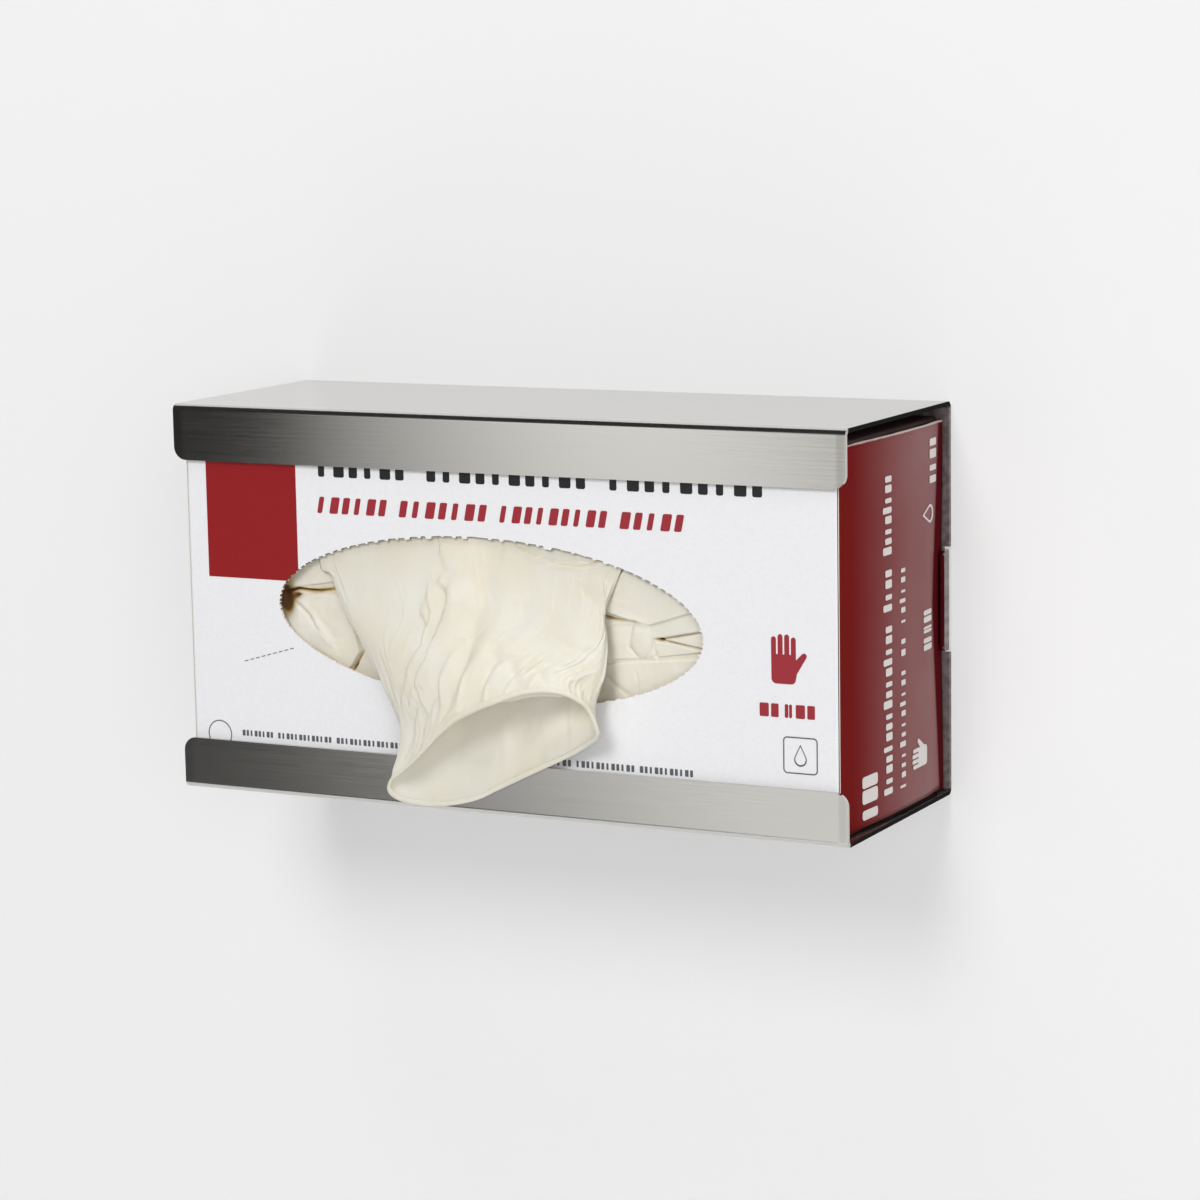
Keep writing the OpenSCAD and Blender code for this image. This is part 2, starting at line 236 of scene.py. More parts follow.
def steel_material():
    """Stainless sheet brushed along its width."""
    material, n, shader = principled("brushed_steel", Metallic=1.0, Roughness=0.2, Anisotropic=0.92)
    long_grain = n.noise(n.object_point(LONG_GRAIN), 1.0, 4.0, 0.62)
    short_grain = n.noise(n.object_point(SHORT_GRAIN), 1.0, 3.0, 0.6)
    grain = n.math("ADD", n.math("MULTIPLY", long_grain, 0.55), n.math("MULTIPLY", short_grain, 0.45))
    cloud = n.noise(n.object_point(STEEL_CLOUDS), 1.0, 2.0)
    tone = n.remap(grain, 0.3, 0.7, soft=False)
    brushed = n.blend(tone, srgb(200, 198, 193), srgb(226, 224, 220))
    colour = n.blend(n.remap(cloud, 0.3, 0.7), brushed, srgb(213, 211, 207))
    x, _, _ = n.axes()
    ends = n.remap(n.math("ABSOLUTE", x), HOLDER_HIGH.x, HOLDER_HIGH.x - CURL_WIDE)
    curled = n.bump(ends, 1.0, CURL)
    around = n.add("ShaderNodeTangent", direction_type="RADIAL", axis="X")
    n.fill(shader, Base_Color=colour, Roughness=n.remap(grain, 0.25, 0.75, 0.09, 0.17, soft=False),
           Normal=n.bump(grain, 0.05, 0.01 * MM, curled), Tangent=around.outputs["Tangent"])
    return material


BOARD_FIBRES = 900.0
BOARD_WAVES = 26.0


def board_surface():
    """Node group of carton board: faint fibres in its colour, and slow waves in its gloss and shape."""
    group = bpy.data.node_groups.new("board_surface", "ShaderNodeTree")
    for name, kind in (("Colour", "NodeSocketColor"), ("Rough", "NodeSocketFloat")):
        group.interface.new_socket(name, in_out="INPUT", socket_type=kind)
    for name, kind in (("Board Colour", "NodeSocketColor"), ("Roughness", "NodeSocketFloat"),
                       ("Normal", "NodeSocketVector")):
        group.interface.new_socket(name, in_out="OUTPUT", socket_type=kind)
    n = Nodes(group)
    given, result = n.add("NodeGroupInput"), n.add("NodeGroupOutput")
    colour, rough = given.outputs["Colour"], given.outputs["Rough"]
    fibres = n.noise(n.object_point(), BOARD_FIBRES, 3.0, 0.6)
    waves = n.noise(n.object_point(), BOARD_WAVES, 2.0)
    darker = n.blend(1.0, colour, (0.97, 0.97, 0.97, 1), "MULTIPLY")
    low, high = n.math("SUBTRACT", rough, 0.05), n.math("ADD", rough, 0.06)
    height = n.math("ADD", n.math("MULTIPLY", fibres, 0.08), waves)
    n.fill(result, Board_Colour=n.blend(n.remap(fibres, 0.3, 0.7), darker, colour),
           Roughness=n.remap(waves, 0.3, 0.7, low, high), Normal=n.bump(height, 0.08, 0.2 * MM))
    return group


BOARD_SURFACE = board_surface()


def board_material(name, colour, rough, coat=0.15):
    """Coated carton board of one colour."""
    material, n, shader = principled(name, Coat_Weight=coat, Coat_Roughness=0.25, Specular_IOR_Level=0.35)
    surface = n.fill(n.add("ShaderNodeGroup", node_tree=BOARD_SURFACE), Colour=colour, Rough=rough)
    n.fill(shader, Base_Color=surface.outputs["Board Colour"], Roughness=surface.outputs["Roughness"],
           Normal=surface.outputs["Normal"])
    return material, n, shader


# Y where the end flap is dull, where it is glossiest, and where its rear turns in at mid height
FLAP_DULL = -80 * MM
FLAP_SHINY = -8 * MM
FLAP_TURN = -12.8 * MM
TURN_LEAN = 0.09
FLAP_SHORT = 1.2 * MM
WORN_HIGH = 0.5 * MM


def flap_material():
    """Red end flap: its gloss grows to the rear and ends where it turns in, past the turn its red is painted
    darker as shade, and its top edge is worn pale.
    """
    material, n, shader = board_material("red_flap", srgb(121, 32, 32), 0.45, 0.0)
    _, y, z = n.axes()
    turn_at = n.math("ADD", FLAP_TURN, n.math("MULTIPLY", n.math("ABSOLUTE", z), TURN_LEAN))
    before_turn = n.remap(n.math("SUBTRACT", y, turn_at), 1.2 * MM, -0.8 * MM)
    glossy = n.math("MULTIPLY", n.remap(y, FLAP_DULL, FLAP_SHINY), before_turn)
    n.fill(shader, Coat_Weight=n.math("MULTIPLY", glossy, 0.5),
           Specular_IOR_Level=n.math("MULTIPLY", glossy, 0.3))
    edge = CARTON_TOP - FLAP_SHORT - WORN_HIGH
    ragged = n.math("MULTIPLY", n.noise(n.object_point(), 500.0), WORN_HIGH)
    worn = n.remap(n.math("ADD", z, ragged), edge, edge + WORN_HIGH)
    red = shader.inputs["Base Color"].links[0].from_socket
    # Painted shade: past the turn, where the rear turns in, the red is painted darker
    red = n.blend(before_turn, srgb(84, 20, 26), red)
    n.fill(shader, Base_Color=n.blend(worn, red, srgb(224, 196, 190)))
    return material


# Strength of the painted glow that stands for light coming through the film into the cuff
PAINTED_GLOW_THROUGH_FILM = 0.165
FILM_CLOUDS = 55.0
FILM_GRAIN = 420.0


def latex_material(name, thin):
    """Cream latex film: painted tan shade where the attribute depth says that light hardly reaches, painted
    shade inside the cuff, and a painted glow there for light through the film.
    """
    material, n, shader = principled(
        name, Roughness=0.5, Specular_IOR_Level=0.35, Subsurface_Weight=0.25, Subsurface_Scale=thin,
        Subsurface_Radius=(1.0, 0.8, 0.6), Sheen_Weight=0.1, Sheen_Roughness=0.4)
    cloud = n.noise(n.object_point(), FILM_CLOUDS, 3.0, 0.6)
    fine = n.noise(n.object_point(), FILM_GRAIN, 3.0, 0.6)
    pale = n.blend(n.remap(cloud, 0.35, 0.7), srgb(229, 226, 214), srgb(226, 220, 203))
    depth = n.attribute("depth")
    tan = n.blend(n.remap(depth, 0.0, 0.6), pale, srgb(206, 184, 134))
    dark = n.blend(n.remap(depth, 0.55, 1.0), tan, srgb(104, 72, 38))
    height = n.math("ADD", cloud, n.math("MULTIPLY", fine, 0.12))
    n.fill(shader, Roughness=n.remap(fine, 0.3, 0.7, 0.42, 0.58), Normal=n.bump(height, 0.3, 0.3 * MM))
    # Inside the cuff the colour is painted darker as shade, and a painted glow stands for the light that
    # comes through the film
    n.fill(shader, Base_Color=n.blend(n.attribute("inside"), dark, srgb(204, 200, 187)),
           Emission_Color=pale, Emission_Strength=n.math("MULTIPLY", n.attribute("glow"), PAINTED_GLOW_THROUGH_FILM))
    return material


def painted_light_edge_material():
    """Cut edges of the sheet with painted light and shade: a painted highlight on the lips, painted black
    shade on the panels, painted grey shade on the back plate and tabs.
    """
    material, n, shader = principled("cut_steel_painted_light", Roughness=0.55)
    _, y, z = n.axes()
    streaks = n.noise(n.object_point((400, 60, 400)), 1.0, 2.0)
    grey = n.blend(n.remap(streaks, 0.3, 0.7), srgb(128, 119, 117), srgb(160, 150, 147))
    panel = n.remap(n.math("ABSOLUTE", z), HOLDER_HIGH.z - 1.8 * SHEET, HOLDER_HIGH.z - 1.1 * SHEET)
    lip = n.remap(y, HOLDER_LOW.y + 1.8 * SHEET, HOLDER_LOW.y + SHEET)
    # Painted light and shade: bright on the lips' edges, black on the panels' edges, grey elsewhere
    colour = n.blend(lip, n.blend(panel, grey, srgb(16, 13, 13)), srgb(206, 200, 190))
    n.fill(shader, Base_Color=colour, Metallic=n.remap(n.math("MAXIMUM", panel, lip), 0, 1, 0.6, 0.0),
           Specular_IOR_Level=n.remap(panel, 0, 1, 0.5, 0.02))
    return material


STEEL = steel_material()
STEEL_EDGE_PAINTED_LIGHT = painted_light_edge_material()
BOARD_WHITE = board_material("white_board", srgb(236, 236, 238), 0.38)[0]
BOARD_FLAP = flap_material()
# Near-black red on the sleeve, all but its front: painted shade for the dark gaps under and over the carton
BOARD_SHADE = board_material("red_side_painted_shade", srgb(44, 10, 12), 0.7, 0.0)[0]
# Darker board on the window's downward cut faces: painted shade
BOARD_CUT_SHADE = board_material("cut_board_painted_shade", srgb(112, 106, 92), 0.8, 0.0)[0]
BOARD_RAW = board_material("raw_board", srgb(222, 214, 202), 0.8, 0.0)[0]
INK_RED = board_material("red_print", srgb(146, 24, 28), 0.4)[0]
INK_TITLE = board_material("title_print", srgb(156, 44, 54), 0.4)[0]
INK_DARK = board_material("dark_print", srgb(36, 36, 38), 0.4)[0]
INK_GREY = board_material("grey_print", srgb(92, 94, 98), 0.4)[0]
INK_WHITE = board_material("white_print", srgb(226, 220, 216), 0.4)[0]
LATEX = latex_material("latex", 0.35 * MM)


# Camera, wall, floor and light

CAMERA_AT = Vector((556.6, -1106.4, 189.7)) * MM
CAMERA_AZIMUTH = math.radians(27.02)
CAMERA_ELEVATION = math.radians(9.04)
CAMERA_ROLL = math.radians(-0.98)
CAMERA_LENS = 106.67


def heading(azimuth, elevation):
    """Unit vector from the object towards a place at that azimuth and elevation, in radians."""
    flat = math.cos(elevation)
    return Vector((math.sin(azimuth) * flat, -math.cos(azimuth) * flat, math.sin(elevation)))


def make_camera():
    """The photograph's camera, fitted to the holder's edges."""
    data = bpy.data.cameras.new("camera")
    data.lens = CAMERA_LENS
    data.sensor_width = 36
    data.clip_start = 0.05
    data.clip_end = 50
    camera = add_object("camera", data)
    look = (-heading(CAMERA_AZIMUTH, CAMERA_ELEVATION)).to_track_quat("-Z", "Y")
    camera.rotation_mode = "QUATERNION"
    camera.rotation_quaternion = look @ Quaternion((0, 0, 1), CAMERA_ROLL)
    camera.location = CAMERA_AT
    bpy.context.scene.camera = camera


BACKGROUND = 0.93
WALL_TONE = (0.85, 0.85, 0.853, 1)
# Share of the wall's brightness that no shadow takes away, as on a wall lit evenly from all round
WALL_GLOW = 0.36
WALL_GAP = 0.6 * MM
WALL_HALF = 4
FLOOR_Z = -0.75
FLOOR_HALF = 0.9


def wall_material():
    """Matt wall that can be looked through from behind, and that lets light reach the back plate."""
    paint = tuple(c * (1 - WALL_GLOW) for c in WALL_TONE[:3]) + (1,)
    material, n, shader = principled(
        "wall_paint", Base_Color=paint, Roughness=0.9, Specular_IOR_Level=0.1,
        Emission_Color=(1, 1, 1, 1), Emission_Strength=WALL_GLOW * BACKGROUND)
    side = n.add("ShaderNodeNewGeometry")
    path = n.add("ShaderNodeLightPath")
    near = n.math("LESS_THAN", path.outputs["Ray Length"], 4 * WALL_GAP)
    see_through = n.math("MAXIMUM", side.outputs["Backfacing"], near)
    clear = n.add("ShaderNodeBsdfTransparent")
    both = n.add("ShaderNodeMixShader")
    n.link(see_through, both.inputs[0])
    n.link(shader.outputs[0], both.inputs[1])
    n.link(clear.outputs[0], both.inputs[2])
    out = material.node_tree.nodes["Material Output"]
    n.link(both.outputs[0], out.inputs["Surface"])
    return material


def make_stage():
    """The wall that the holder hangs on and the floor below it."""
    bm = bmesh.new()
    bmesh.ops.create_grid(bm, x_segments=1, y_segments=1, size=WALL_HALF)
    turn = Matrix.Translation((0, WALL_GAP, 0)) @ Matrix.Rotation(math.radians(90), 4, "X")
    bmesh.ops.transform(bm, matrix=turn, verts=bm.verts)
    wall = new_object("wall", bm, [wall_material()])
    bm = bmesh.new()
    bmesh.ops.create_grid(bm, x_segments=1, y_segments=1, size=FLOOR_HALF)
    bmesh.ops.translate(bm, vec=(0, 0, FLOOR_Z), verts=bm.verts)
    floor_paint = principled("floor_paint", Base_Color=WALL_TONE, Roughness=0.9)[0]
    floor = new_object("floor", bm, [floor_paint])


# What the lips reflect: brightness over the azimuth, from 20 to 36 degrees left of straight ahead
REFLECTED_FROM, REFLECTED_TO = 20.0, 36.0
UPPER_LIP_SEES = [(20, 0.5), (23, 0.58), (24, 0.86), (26, 1.1), (27.5, 1.08), (29, 0.87), (30.5, 0.6),
                  (31.5, 0.3), (32.2, 0.025), (33, 0.015)]
LOWER_LIP_SEES = [(20, 0.8), (23, 0.95), (24.5, 0.9), (26.5, 0.66), (28.5, 0.36), (30.5, 0.16),
                  (32, 0.11), (34, 0.09)]


def profile(n, azimuth, stops):
    """Brightness over the azimuth, from a list of stops."""
    share = n.remap(azimuth, REFLECTED_FROM, REFLECTED_TO, soft=False)
    ramp = n.add("ShaderNodeValToRGB")
    n.link(share, ramp.inputs["Fac"])
    points = ramp.color_ramp.elements
    while len(points) < len(stops):
        points.new(0.5)
    for point, (angle, level) in zip(points, stops):
        point.position = (angle - REFLECTED_FROM) / (REFLECTED_TO - REFLECTED_FROM)
        point.color = (level, level, level * 0.985, 1)
    return ramp.outputs["Color"]


# Where the room changes, in degrees of azimuth to the left or of elevation: from, to
LOWER_BAND, UPPER_BAND = -11.0, -7.0
RIGHT_SIDE = (19.0, -8.0)
FAR_LEFT = (62.0, 95.0)
DARK_FROM_BELOW = (5.0, 13.0)
DARK_FROM_RIGHT = (-4.0, 16.0)
DARK_TO_TOP = (78.0, 66.0)
ROOM_GREY = (0.5, 0.5, 0.5, 1)
ROOM_DARK = (0.035, 0.035, 0.037, 1)


def make_world():
    """A plain room: a large soft window in front, darker on the far left and in the upper left."""
    world = bpy.data.worlds.new("studio")
    bpy.context.scene.world = world
    world.use_nodes = True
    n = Nodes(world.node_tree)
    x, y, z = n.axes("Generated")
    left, ahead = n.math("MULTIPLY", x, -1.0), n.math("MULTIPLY", y, -1.0)
    azimuth = n.math("DEGREES", n.math("ARCTAN2", left, ahead))
    elevation = n.math("DEGREES", n.math("ARCSINE", z))
    upper = profile(n, azimuth, UPPER_LIP_SEES)
    lower = profile(n, azimuth, LOWER_LIP_SEES)
    front = n.blend(n.remap(elevation, LOWER_BAND, UPPER_BAND), lower, upper)
    # Past the lips' view: grey to the right and behind, and on the far left
    grey = n.math("MAXIMUM", n.remap(azimuth, *RIGHT_SIDE), n.remap(azimuth, *FAR_LEFT))
    room = n.blend(grey, front, ROOM_GREY)
    dark = n.math("MULTIPLY", n.remap(elevation, *DARK_FROM_BELOW), n.remap(azimuth, *DARK_FROM_RIGHT))
    dark = n.math("MULTIPLY", dark, n.remap(elevation, *DARK_TO_TOP))
    room = n.blend(dark, room, ROOM_DARK)
    path = n.add("ShaderNodeLightPath")
    seen = n.blend(path.outputs["Is Camera Ray"], room, (BACKGROUND, BACKGROUND, BACKGROUND, 1))
    n.fill(world.node_tree.nodes["Background"], Color=seen, Strength=1.0)


# Name, azimuth and elevation in degrees, distance and width in metres, and power in watts
LAMPS = [("key", 2, 32, 2.8, 1.1, 35), ("fill", 35, 12, 2.8, 1.6, 13), ("top", -20, 68, 2.4, 1.4, 13)]


def area_lamp(name, azimuth, elevation, distance, size, power):
    """Soft lamp that faces the object. Shiny surfaces don't show it."""
    data = bpy.data.lights.new(name, "AREA")
    data.shape = "DISK"
    data.size = size
    data.energy = power
    lamp = add_object(name, data)
    towards = heading(math.radians(azimuth), math.radians(elevation))
    lamp.location = towards * distance
    lamp.rotation_mode = "QUATERNION"
    lamp.rotation_quaternion = (-towards).to_track_quat("-Z", "Y")
    lamp.visible_glossy = False
    lamp.visible_camera = False


make_camera()
make_stage()
make_world()
for lamp_values in LAMPS:
    area_lamp(*lamp_values)
bpy.context.scene.view_settings.view_transform = "Standard"


# Holder

EDGE_BREAK = 0.18 * MM


def make_holder():
    """The folded sheet, with its cut edges lightly broken."""
    bm = cad_copy("holder")
    bmesh.ops.dissolve_limit(bm, angle_limit=math.radians(0.5), verts=bm.verts, edges=bm.edges)
    sharp = [e for e in bm.edges if e.is_manifold and e.calc_face_angle() > math.radians(50)]
    round_edges(bm, sharp, EDGE_BREAK, 2)
    for f in bm.faces:
        # Cut edges, the tab's outer face and the back plate's front face take the edge material with its
        # painted light and shade
        back_plate = f.normal.y < -0.9 and f.calc_center_median().y > -2 * SHEET
        if abs(f.normal.x) > 0.9 or back_plate:
            f.material_index = 1
    holder = new_object("holder_sheet", bm, [STEEL, STEEL_EDGE_PAINTED_LIGHT])
    shade_smooth(holder, 40)
    weighted_normals(holder)
    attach(holder, "root")
    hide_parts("holder")


# Carton

CARTON_MID_Y = (CARTON_FRONT + CARTON_REAR) / 2
CARTON_MID_Z = (CARTON_TOP + CARTON_BOTTOM) / 2
CARTON_HEIGHT = CARTON_TOP - CARTON_BOTTOM
# Perforation of the window: nicks all round, points for each, how far its torn bridges reach in and
# the share that they take, the raggedness of the tear and the slant of the cut
NICKS = 110
NICK_STEPS = 10
NICK_DEPTH = 0.46 * MM
TAB_SHARE = 0.27
TORN = 0.16 * MM
CUT_SLANT = 0.24 * MM
CUT_SPARE = 0.3 * MM
BEND_STEPS = 8
# Places of the materials in the sleeve's list
WHITE, RAW, SHADE, CUT_SHADE = range(4)


def solid_box(size, centre, round_by=0.0):
    """A bmesh box, with its edges rounded where a radius is given."""
    bm = bmesh.new()
    bmesh.ops.create_cube(bm, size=1)
    bmesh.ops.scale(bm, vec=size, verts=bm.verts)
    bmesh.ops.translate(bm, vec=centre, verts=bm.verts)
    if round_by:
        round_edges(bm, bm.edges, round_by, BEND_STEPS)
    return bm


def bridge(share):
    """How far a torn bridge of the perforation reaches into the window, at a share of the way round."""
    ragged = noise.noise(Vector((math.floor(share * NICKS) * 1.7, 3.1, 0)))
    if share * NICKS % 1 > TAB_SHARE + 0.5 * ragged:
        return 0.0
    upper = smooth(0.5 + 1.4 * math.sin(2 * math.pi * share) + 0.3 * math.cos(2 * math.pi * share))
    return NICK_DEPTH * (0.75 + 1.1 * ragged) * mix(0.4, 1.0, upper)


def window_point(share, slant):
    """Point of the torn window's edge at a share of the way round, in X and Z."""
    turn = 2 * math.pi * share
    torn = TORN * noise.noise(Vector((math.cos(turn) * 30, math.sin(turn) * 30, share * 90)))
    tab = bridge(share)
    reach = NICK_DEPTH / 3 + torn - (tab if tab else -slant)
    x = (WINDOW_SIZE.x / 2 + reach) * math.cos(turn)
    z = (WINDOW_SIZE.y / 2 + reach) * math.sin(turn)
    c, s = math.cos(WINDOW_TILT), math.sin(WINDOW_TILT)
    return WINDOW_AT.x + c * x - s * z, WINDOW_AT.y + s * x + c * z


def window_share(x, z):
    """Share of the way round the window at a point near its edge."""
    c, s = math.cos(WINDOW_TILT), math.sin(WINDOW_TILT)
    dx, dz = x - WINDOW_AT.x, z - WINDOW_AT.y
    along, up = c * dx + s * dz, c * dz - s * dx
    return math.atan2(up / WINDOW_SIZE.y, along / WINDOW_SIZE.x) / (2 * math.pi) % 1


def window_cutter():
    """Prism that cuts the torn window out of the front panel, slanting where the perforation was cut."""
    count = NICKS * NICK_STEPS
    bm = bmesh.new()
    share = bm.verts.layers.float.new("share")
    bmesh.ops.create_circle(bm, segments=count, radius=1, cap_ends=True)
    for v in bm.verts:
        v[share] = math.atan2(v.co.y, v.co.x) / (2 * math.pi) % 1
    pushed = bmesh.ops.extrude_face_region(bm, geom=bm.faces[:])
    behind = {g for g in pushed["geom"] if isinstance(g, bmesh.types.BMVert)}
    for v in bm.verts:
        deep = BOARD + CUT_SPARE if v in behind else -CUT_SPARE
        x, z = window_point(v[share], CUT_SLANT * (1 - deep / BOARD))
        v.co = (x, CARTON_FRONT + deep, z)
    bmesh.ops.recalc_face_normals(bm, faces=bm.faces)
    return bm


def cut(obj, tool):
    """Takes the tool's shape out of the object for good."""
    knife = new_object("knife", tool, [])
    modifier = obj.modifiers.new("cut", "BOOLEAN")
    modifier.object = knife
    modifier.operation = "DIFFERENCE"
    modifier.solver = "EXACT"
    modifier.material_mode = "TRANSFER"
    whole = obj.evaluated_get(bpy.context.evaluated_depsgraph_get())
    mesh = bpy.data.meshes.new_from_object(whole)
    obj.modifiers.clear()
    obj.data = mesh
    bpy.data.objects.remove(knife)


def make_sleeve():
    """The carton's box: four panels and the tucked ends, with the torn window."""
    outer = Vector((2 * CARTON_HALF, CARTON_DEPTH, CARTON_HEIGHT))
    centre = Vector((0, CARTON_MID_Y, CARTON_MID_Z))
    wall = Vector((BOARD, BOARD, BOARD)) * 2
    box = solid_box(outer, centre, CREASE_R)
    # All faces but the front take the near-black red painted shade
    for f in box.faces:
        f.material_index = SHADE if f.normal.y > -0.7 else WHITE
    sleeve = new_object("carton_box", box, [BOARD_WHITE, BOARD_RAW, BOARD_SHADE, BOARD_CUT_SHADE])
    inside = solid_box(outer - wall, centre)
    for f in inside.faces:
        f.material_index = RAW
    cut(sleeve, inside)
    cut(sleeve, window_cutter())
    for f in sleeve.data.polygons:
        c = f.center
        inner = abs(c.x) < CARTON_HALF - 2 * MM and c.y < CARTON_FRONT + BOARD + 0.01 * MM
        if inner and abs(f.normal.y) < 0.95:
            # Painted shade: cut faces that face down, away from the torn bridges, take the darker board
            painted_shade_overhang = f.normal.z < 0.1 and not bridge(window_share(c.x, c.z))
            f.material_index = CUT_SHADE if painted_shade_overhang else RAW
    shade_smooth(sleeve, 30)
    weighted_normals(sleeve)
    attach(sleeve, "root")
    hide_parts("carton")


FLAP_SWELL = 2.1 * MM
FLAP_PRESSED = 1.2 * MM
FLAP_WAVE = 0.15 * MM
TAB_REACH = 34 * MM
FLAP_RAGGED = 0.25 * MM
FLAP_STEPS = 60


def flap_x(y, z):
    """How far from the middle the end flap's outer face lies: it swells, and the tab presses its rear in."""
    u = (y - CARTON_FRONT) / CARTON_DEPTH
    swell = FLAP_SWELL * math.sin(math.pi / 2 * smooth(0.12 + u / 0.95))
    pressed = FLAP_PRESSED * smooth((u - 0.8) / 0.2) * (0.35 + 0.65 * math.exp(-(z / TAB_REACH) ** 2))
    wave = FLAP_WAVE * noise.noise(Vector((u * 2.3, z / CARTON_HEIGHT * 2.7, 1))) * math.sin(math.pi * u)
    return CARTON_HALF + swell - pressed + wave


def make_end_flap(side, name):
    """Outer end flap: swollen board with ragged cut edges above and below."""
    bm = bmesh.new()
    bmesh.ops.create_grid(bm, x_segments=FLAP_STEPS, y_segments=FLAP_STEPS, size=1)
    low, high = CARTON_BOTTOM + FLAP_SHORT, CARTON_TOP - FLAP_SHORT
    for v in bm.verts:
        u, w = (v.co.x + 1) / 2, (v.co.y + 1) / 2
        y = mix(CARTON_FRONT + CREASE_R / 2, CARTON_REAR - 0.2 * MM, u)
        ragged = FLAP_RAGGED * noise.noise(Vector((u * 6, round(w) * 9, side)))
        z = mix(low, high, w) + ragged * abs(2 * w - 1)
        v.co = (side * (flap_x(y, z) - BOARD / 2), y, z)
    bmesh.ops.recalc_face_normals(bm, faces=bm.faces)
    out = sum(f.normal.x for f in bm.faces) * side
    if out < 0:
        bmesh.ops.reverse_faces(bm, faces=bm.faces)
    flap = new_object(name, bm, [BOARD_FLAP, BOARD_RAW])
    shade_smooth(flap, 40)
    wall = flap.modifiers.new("board", "SOLIDIFY")
    wall.thickness = BOARD
    wall.offset = 0
    wall.material_offset = 1
    wall.material_offset_rim = 1
    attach(flap, "root")


# Print: plain fields, rows of blocks and signs, in millimetres

INK = 0.05
# Print on the swollen end flap stands this much prouder, so that flat plates clear its bend
FLAP_INK_LIFT = 0.1
INK_PLANE = CARTON_FRONT / MM
EDGE_LEFT = -CARTON_HALF / MM
EDGE_RIGHT = CARTON_HALF / MM


def arc(x, z, radius, start, end, steps=5):
    """Points of an arc round a centre, angles in degrees."""
    angles = [math.radians(mix(start, end, i / steps)) for i in range(steps + 1)]
    return [(x + radius * math.cos(a), z + radius * math.sin(a)) for a in angles]


def rounded(x, z, width, height, radius, lean=0.0):
    """Outline with round corners, by its lower left corner, leaning to the right."""
    right, top = x + width - radius, z + height - radius
    points = arc(right, z + radius, radius, -90, 0) + arc(right, top, radius, 0, 90)
    points += arc(x + radius, top, radius, 90, 180) + arc(x + radius, z + radius, radius, 180, 270)
    return [(px + lean * (pz - z), pz) for px, pz in points]


def add_plate(bm, outline, place):
    """Adds a thin plate of ink. Place turns a point and a height over the board into X, Y and Z."""
    made = bmesh.ops.create_circle(bm, segments=len(outline), radius=1, cap_ends=True)
    for v, (x, z) in zip(made["verts"], outline):
        v.co = Vector(place(x, z, INK)) * MM


def add_ring(bm, outer, inner, place):
    """Adds a closed line of ink between two outlines that have the same number of points."""
    count = len(outer)
    made = bmesh.ops.create_grid(bm, x_segments=count, y_segments=1, size=1)
    for v in made["verts"]:
        i = round((v.co.x + 1) / 2 * count) % count
        x, z = (outer if v.co.y > 0 else inner)[i]
        v.co = Vector(place(x, z, INK)) * MM


def on_front(x, z, height):
    """On the carton's front."""
    return x, INK_PLANE - height, z


def up_flap(along, across, height):
    """On the right end flap, for print that reads upwards."""
    y, z = -across, along
    return flap_x(y * MM, z * MM) / MM + FLAP_INK_LIFT + height, y, z


def add_words(bm, at, words, height, place=on_front, gap=3.0, wide=0.86, share=0.54, lean=0.0, small=False):
    """A line of generic print: a row of plain blocks for each word, some lower where letters are small.

    Each block has a pitch of wide times the height, and fills that share of it."""
    x, z = at
    for width in words:
        count = max(2, round(width / (height * wide)))
        pitch = width / count
        for i in range(count):
            block = pitch * (share + 0.14 * ((i * 5 + count) % 3 - 1))
            tall = height * 0.74 if small and (i * 7 + count) % 4 else height
            add_plate(bm, rounded(x + i * pitch, z, block, tall, height * 0.1, lean), place)
        x += width + gap


def hand_outline(x, z, size):
    """Outline of an open hand over its wrist: palm, four fingers and a thumb."""
    points = arc(-0.15, 0.1, 0.1, 270, 180)
    for finger in (-1.5, -0.5, 0.5, 1.5):
        tip = 0.92 - 0.05 * abs(finger)
        points += arc(finger * 0.135, tip, 0.05, 180, 0)
        if finger < 1.5:
            points += [(finger * 0.135 + 0.05, 0.56), ((finger + 1) * 0.135 - 0.05, 0.56)]
    points += [(0.2525, 0.46)] + arc(0.42, 0.55, 0.055, 130, -40) + [(0.27, 0.2)]
    points += arc(0.15, 0.1, 0.1, 0, -90)
    return [(x + size * px, z + size * pz) for px, pz in points]


def drop_outline(x, z, size):
    """Outline of a drop."""
    points = arc(0, -0.09, 0.2, 150, 390, 14) + [(0, 0.36)]
    return [(x + size * px, z + size * pz) for px, pz in points]


def make_print(name, material, bm):
    """Makes a piece of ink from its flat plates."""
    bmesh.ops.remove_doubles(bm, verts=bm.verts, dist=0.001 * MM)
    bmesh.ops.recalc_face_normals(bm, faces=bm.faces)
    ink = new_object(name, bm, [material])
    skin = ink.modifiers.new("ink", "SOLIDIFY")
    skin.thickness = 2 * INK * MM
    skin.offset = 0
    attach(ink, "root")
    return ink


# Red field: left, bottom, width and height
BLOCK = (EDGE_LEFT + 8, 7.7, 36, 46)
# Lines of print: place of the first word, and the width of each word
TITLE_AT, TITLE_WORDS = (-68.5, 44), (36, 62, 57)
RED_TITLE_AT, RED_TITLE_WORDS = (-69.3, 31.6), (28.5, 35, 41, 24.5)
SIZE_AT, SIZE_WORDS = (EDGE_RIGHT - 27.5, -26.4), (8, 3, 8)
SMALL_LEFT_AT, SMALL_LEFT_WORDS = (EDGE_LEFT + 19.5, -47.4), (13, 22, 30)
SMALL_RIGHT_AT, SMALL_RIGHT_WORDS = (16.5, -48.4), (10, 22, 20)
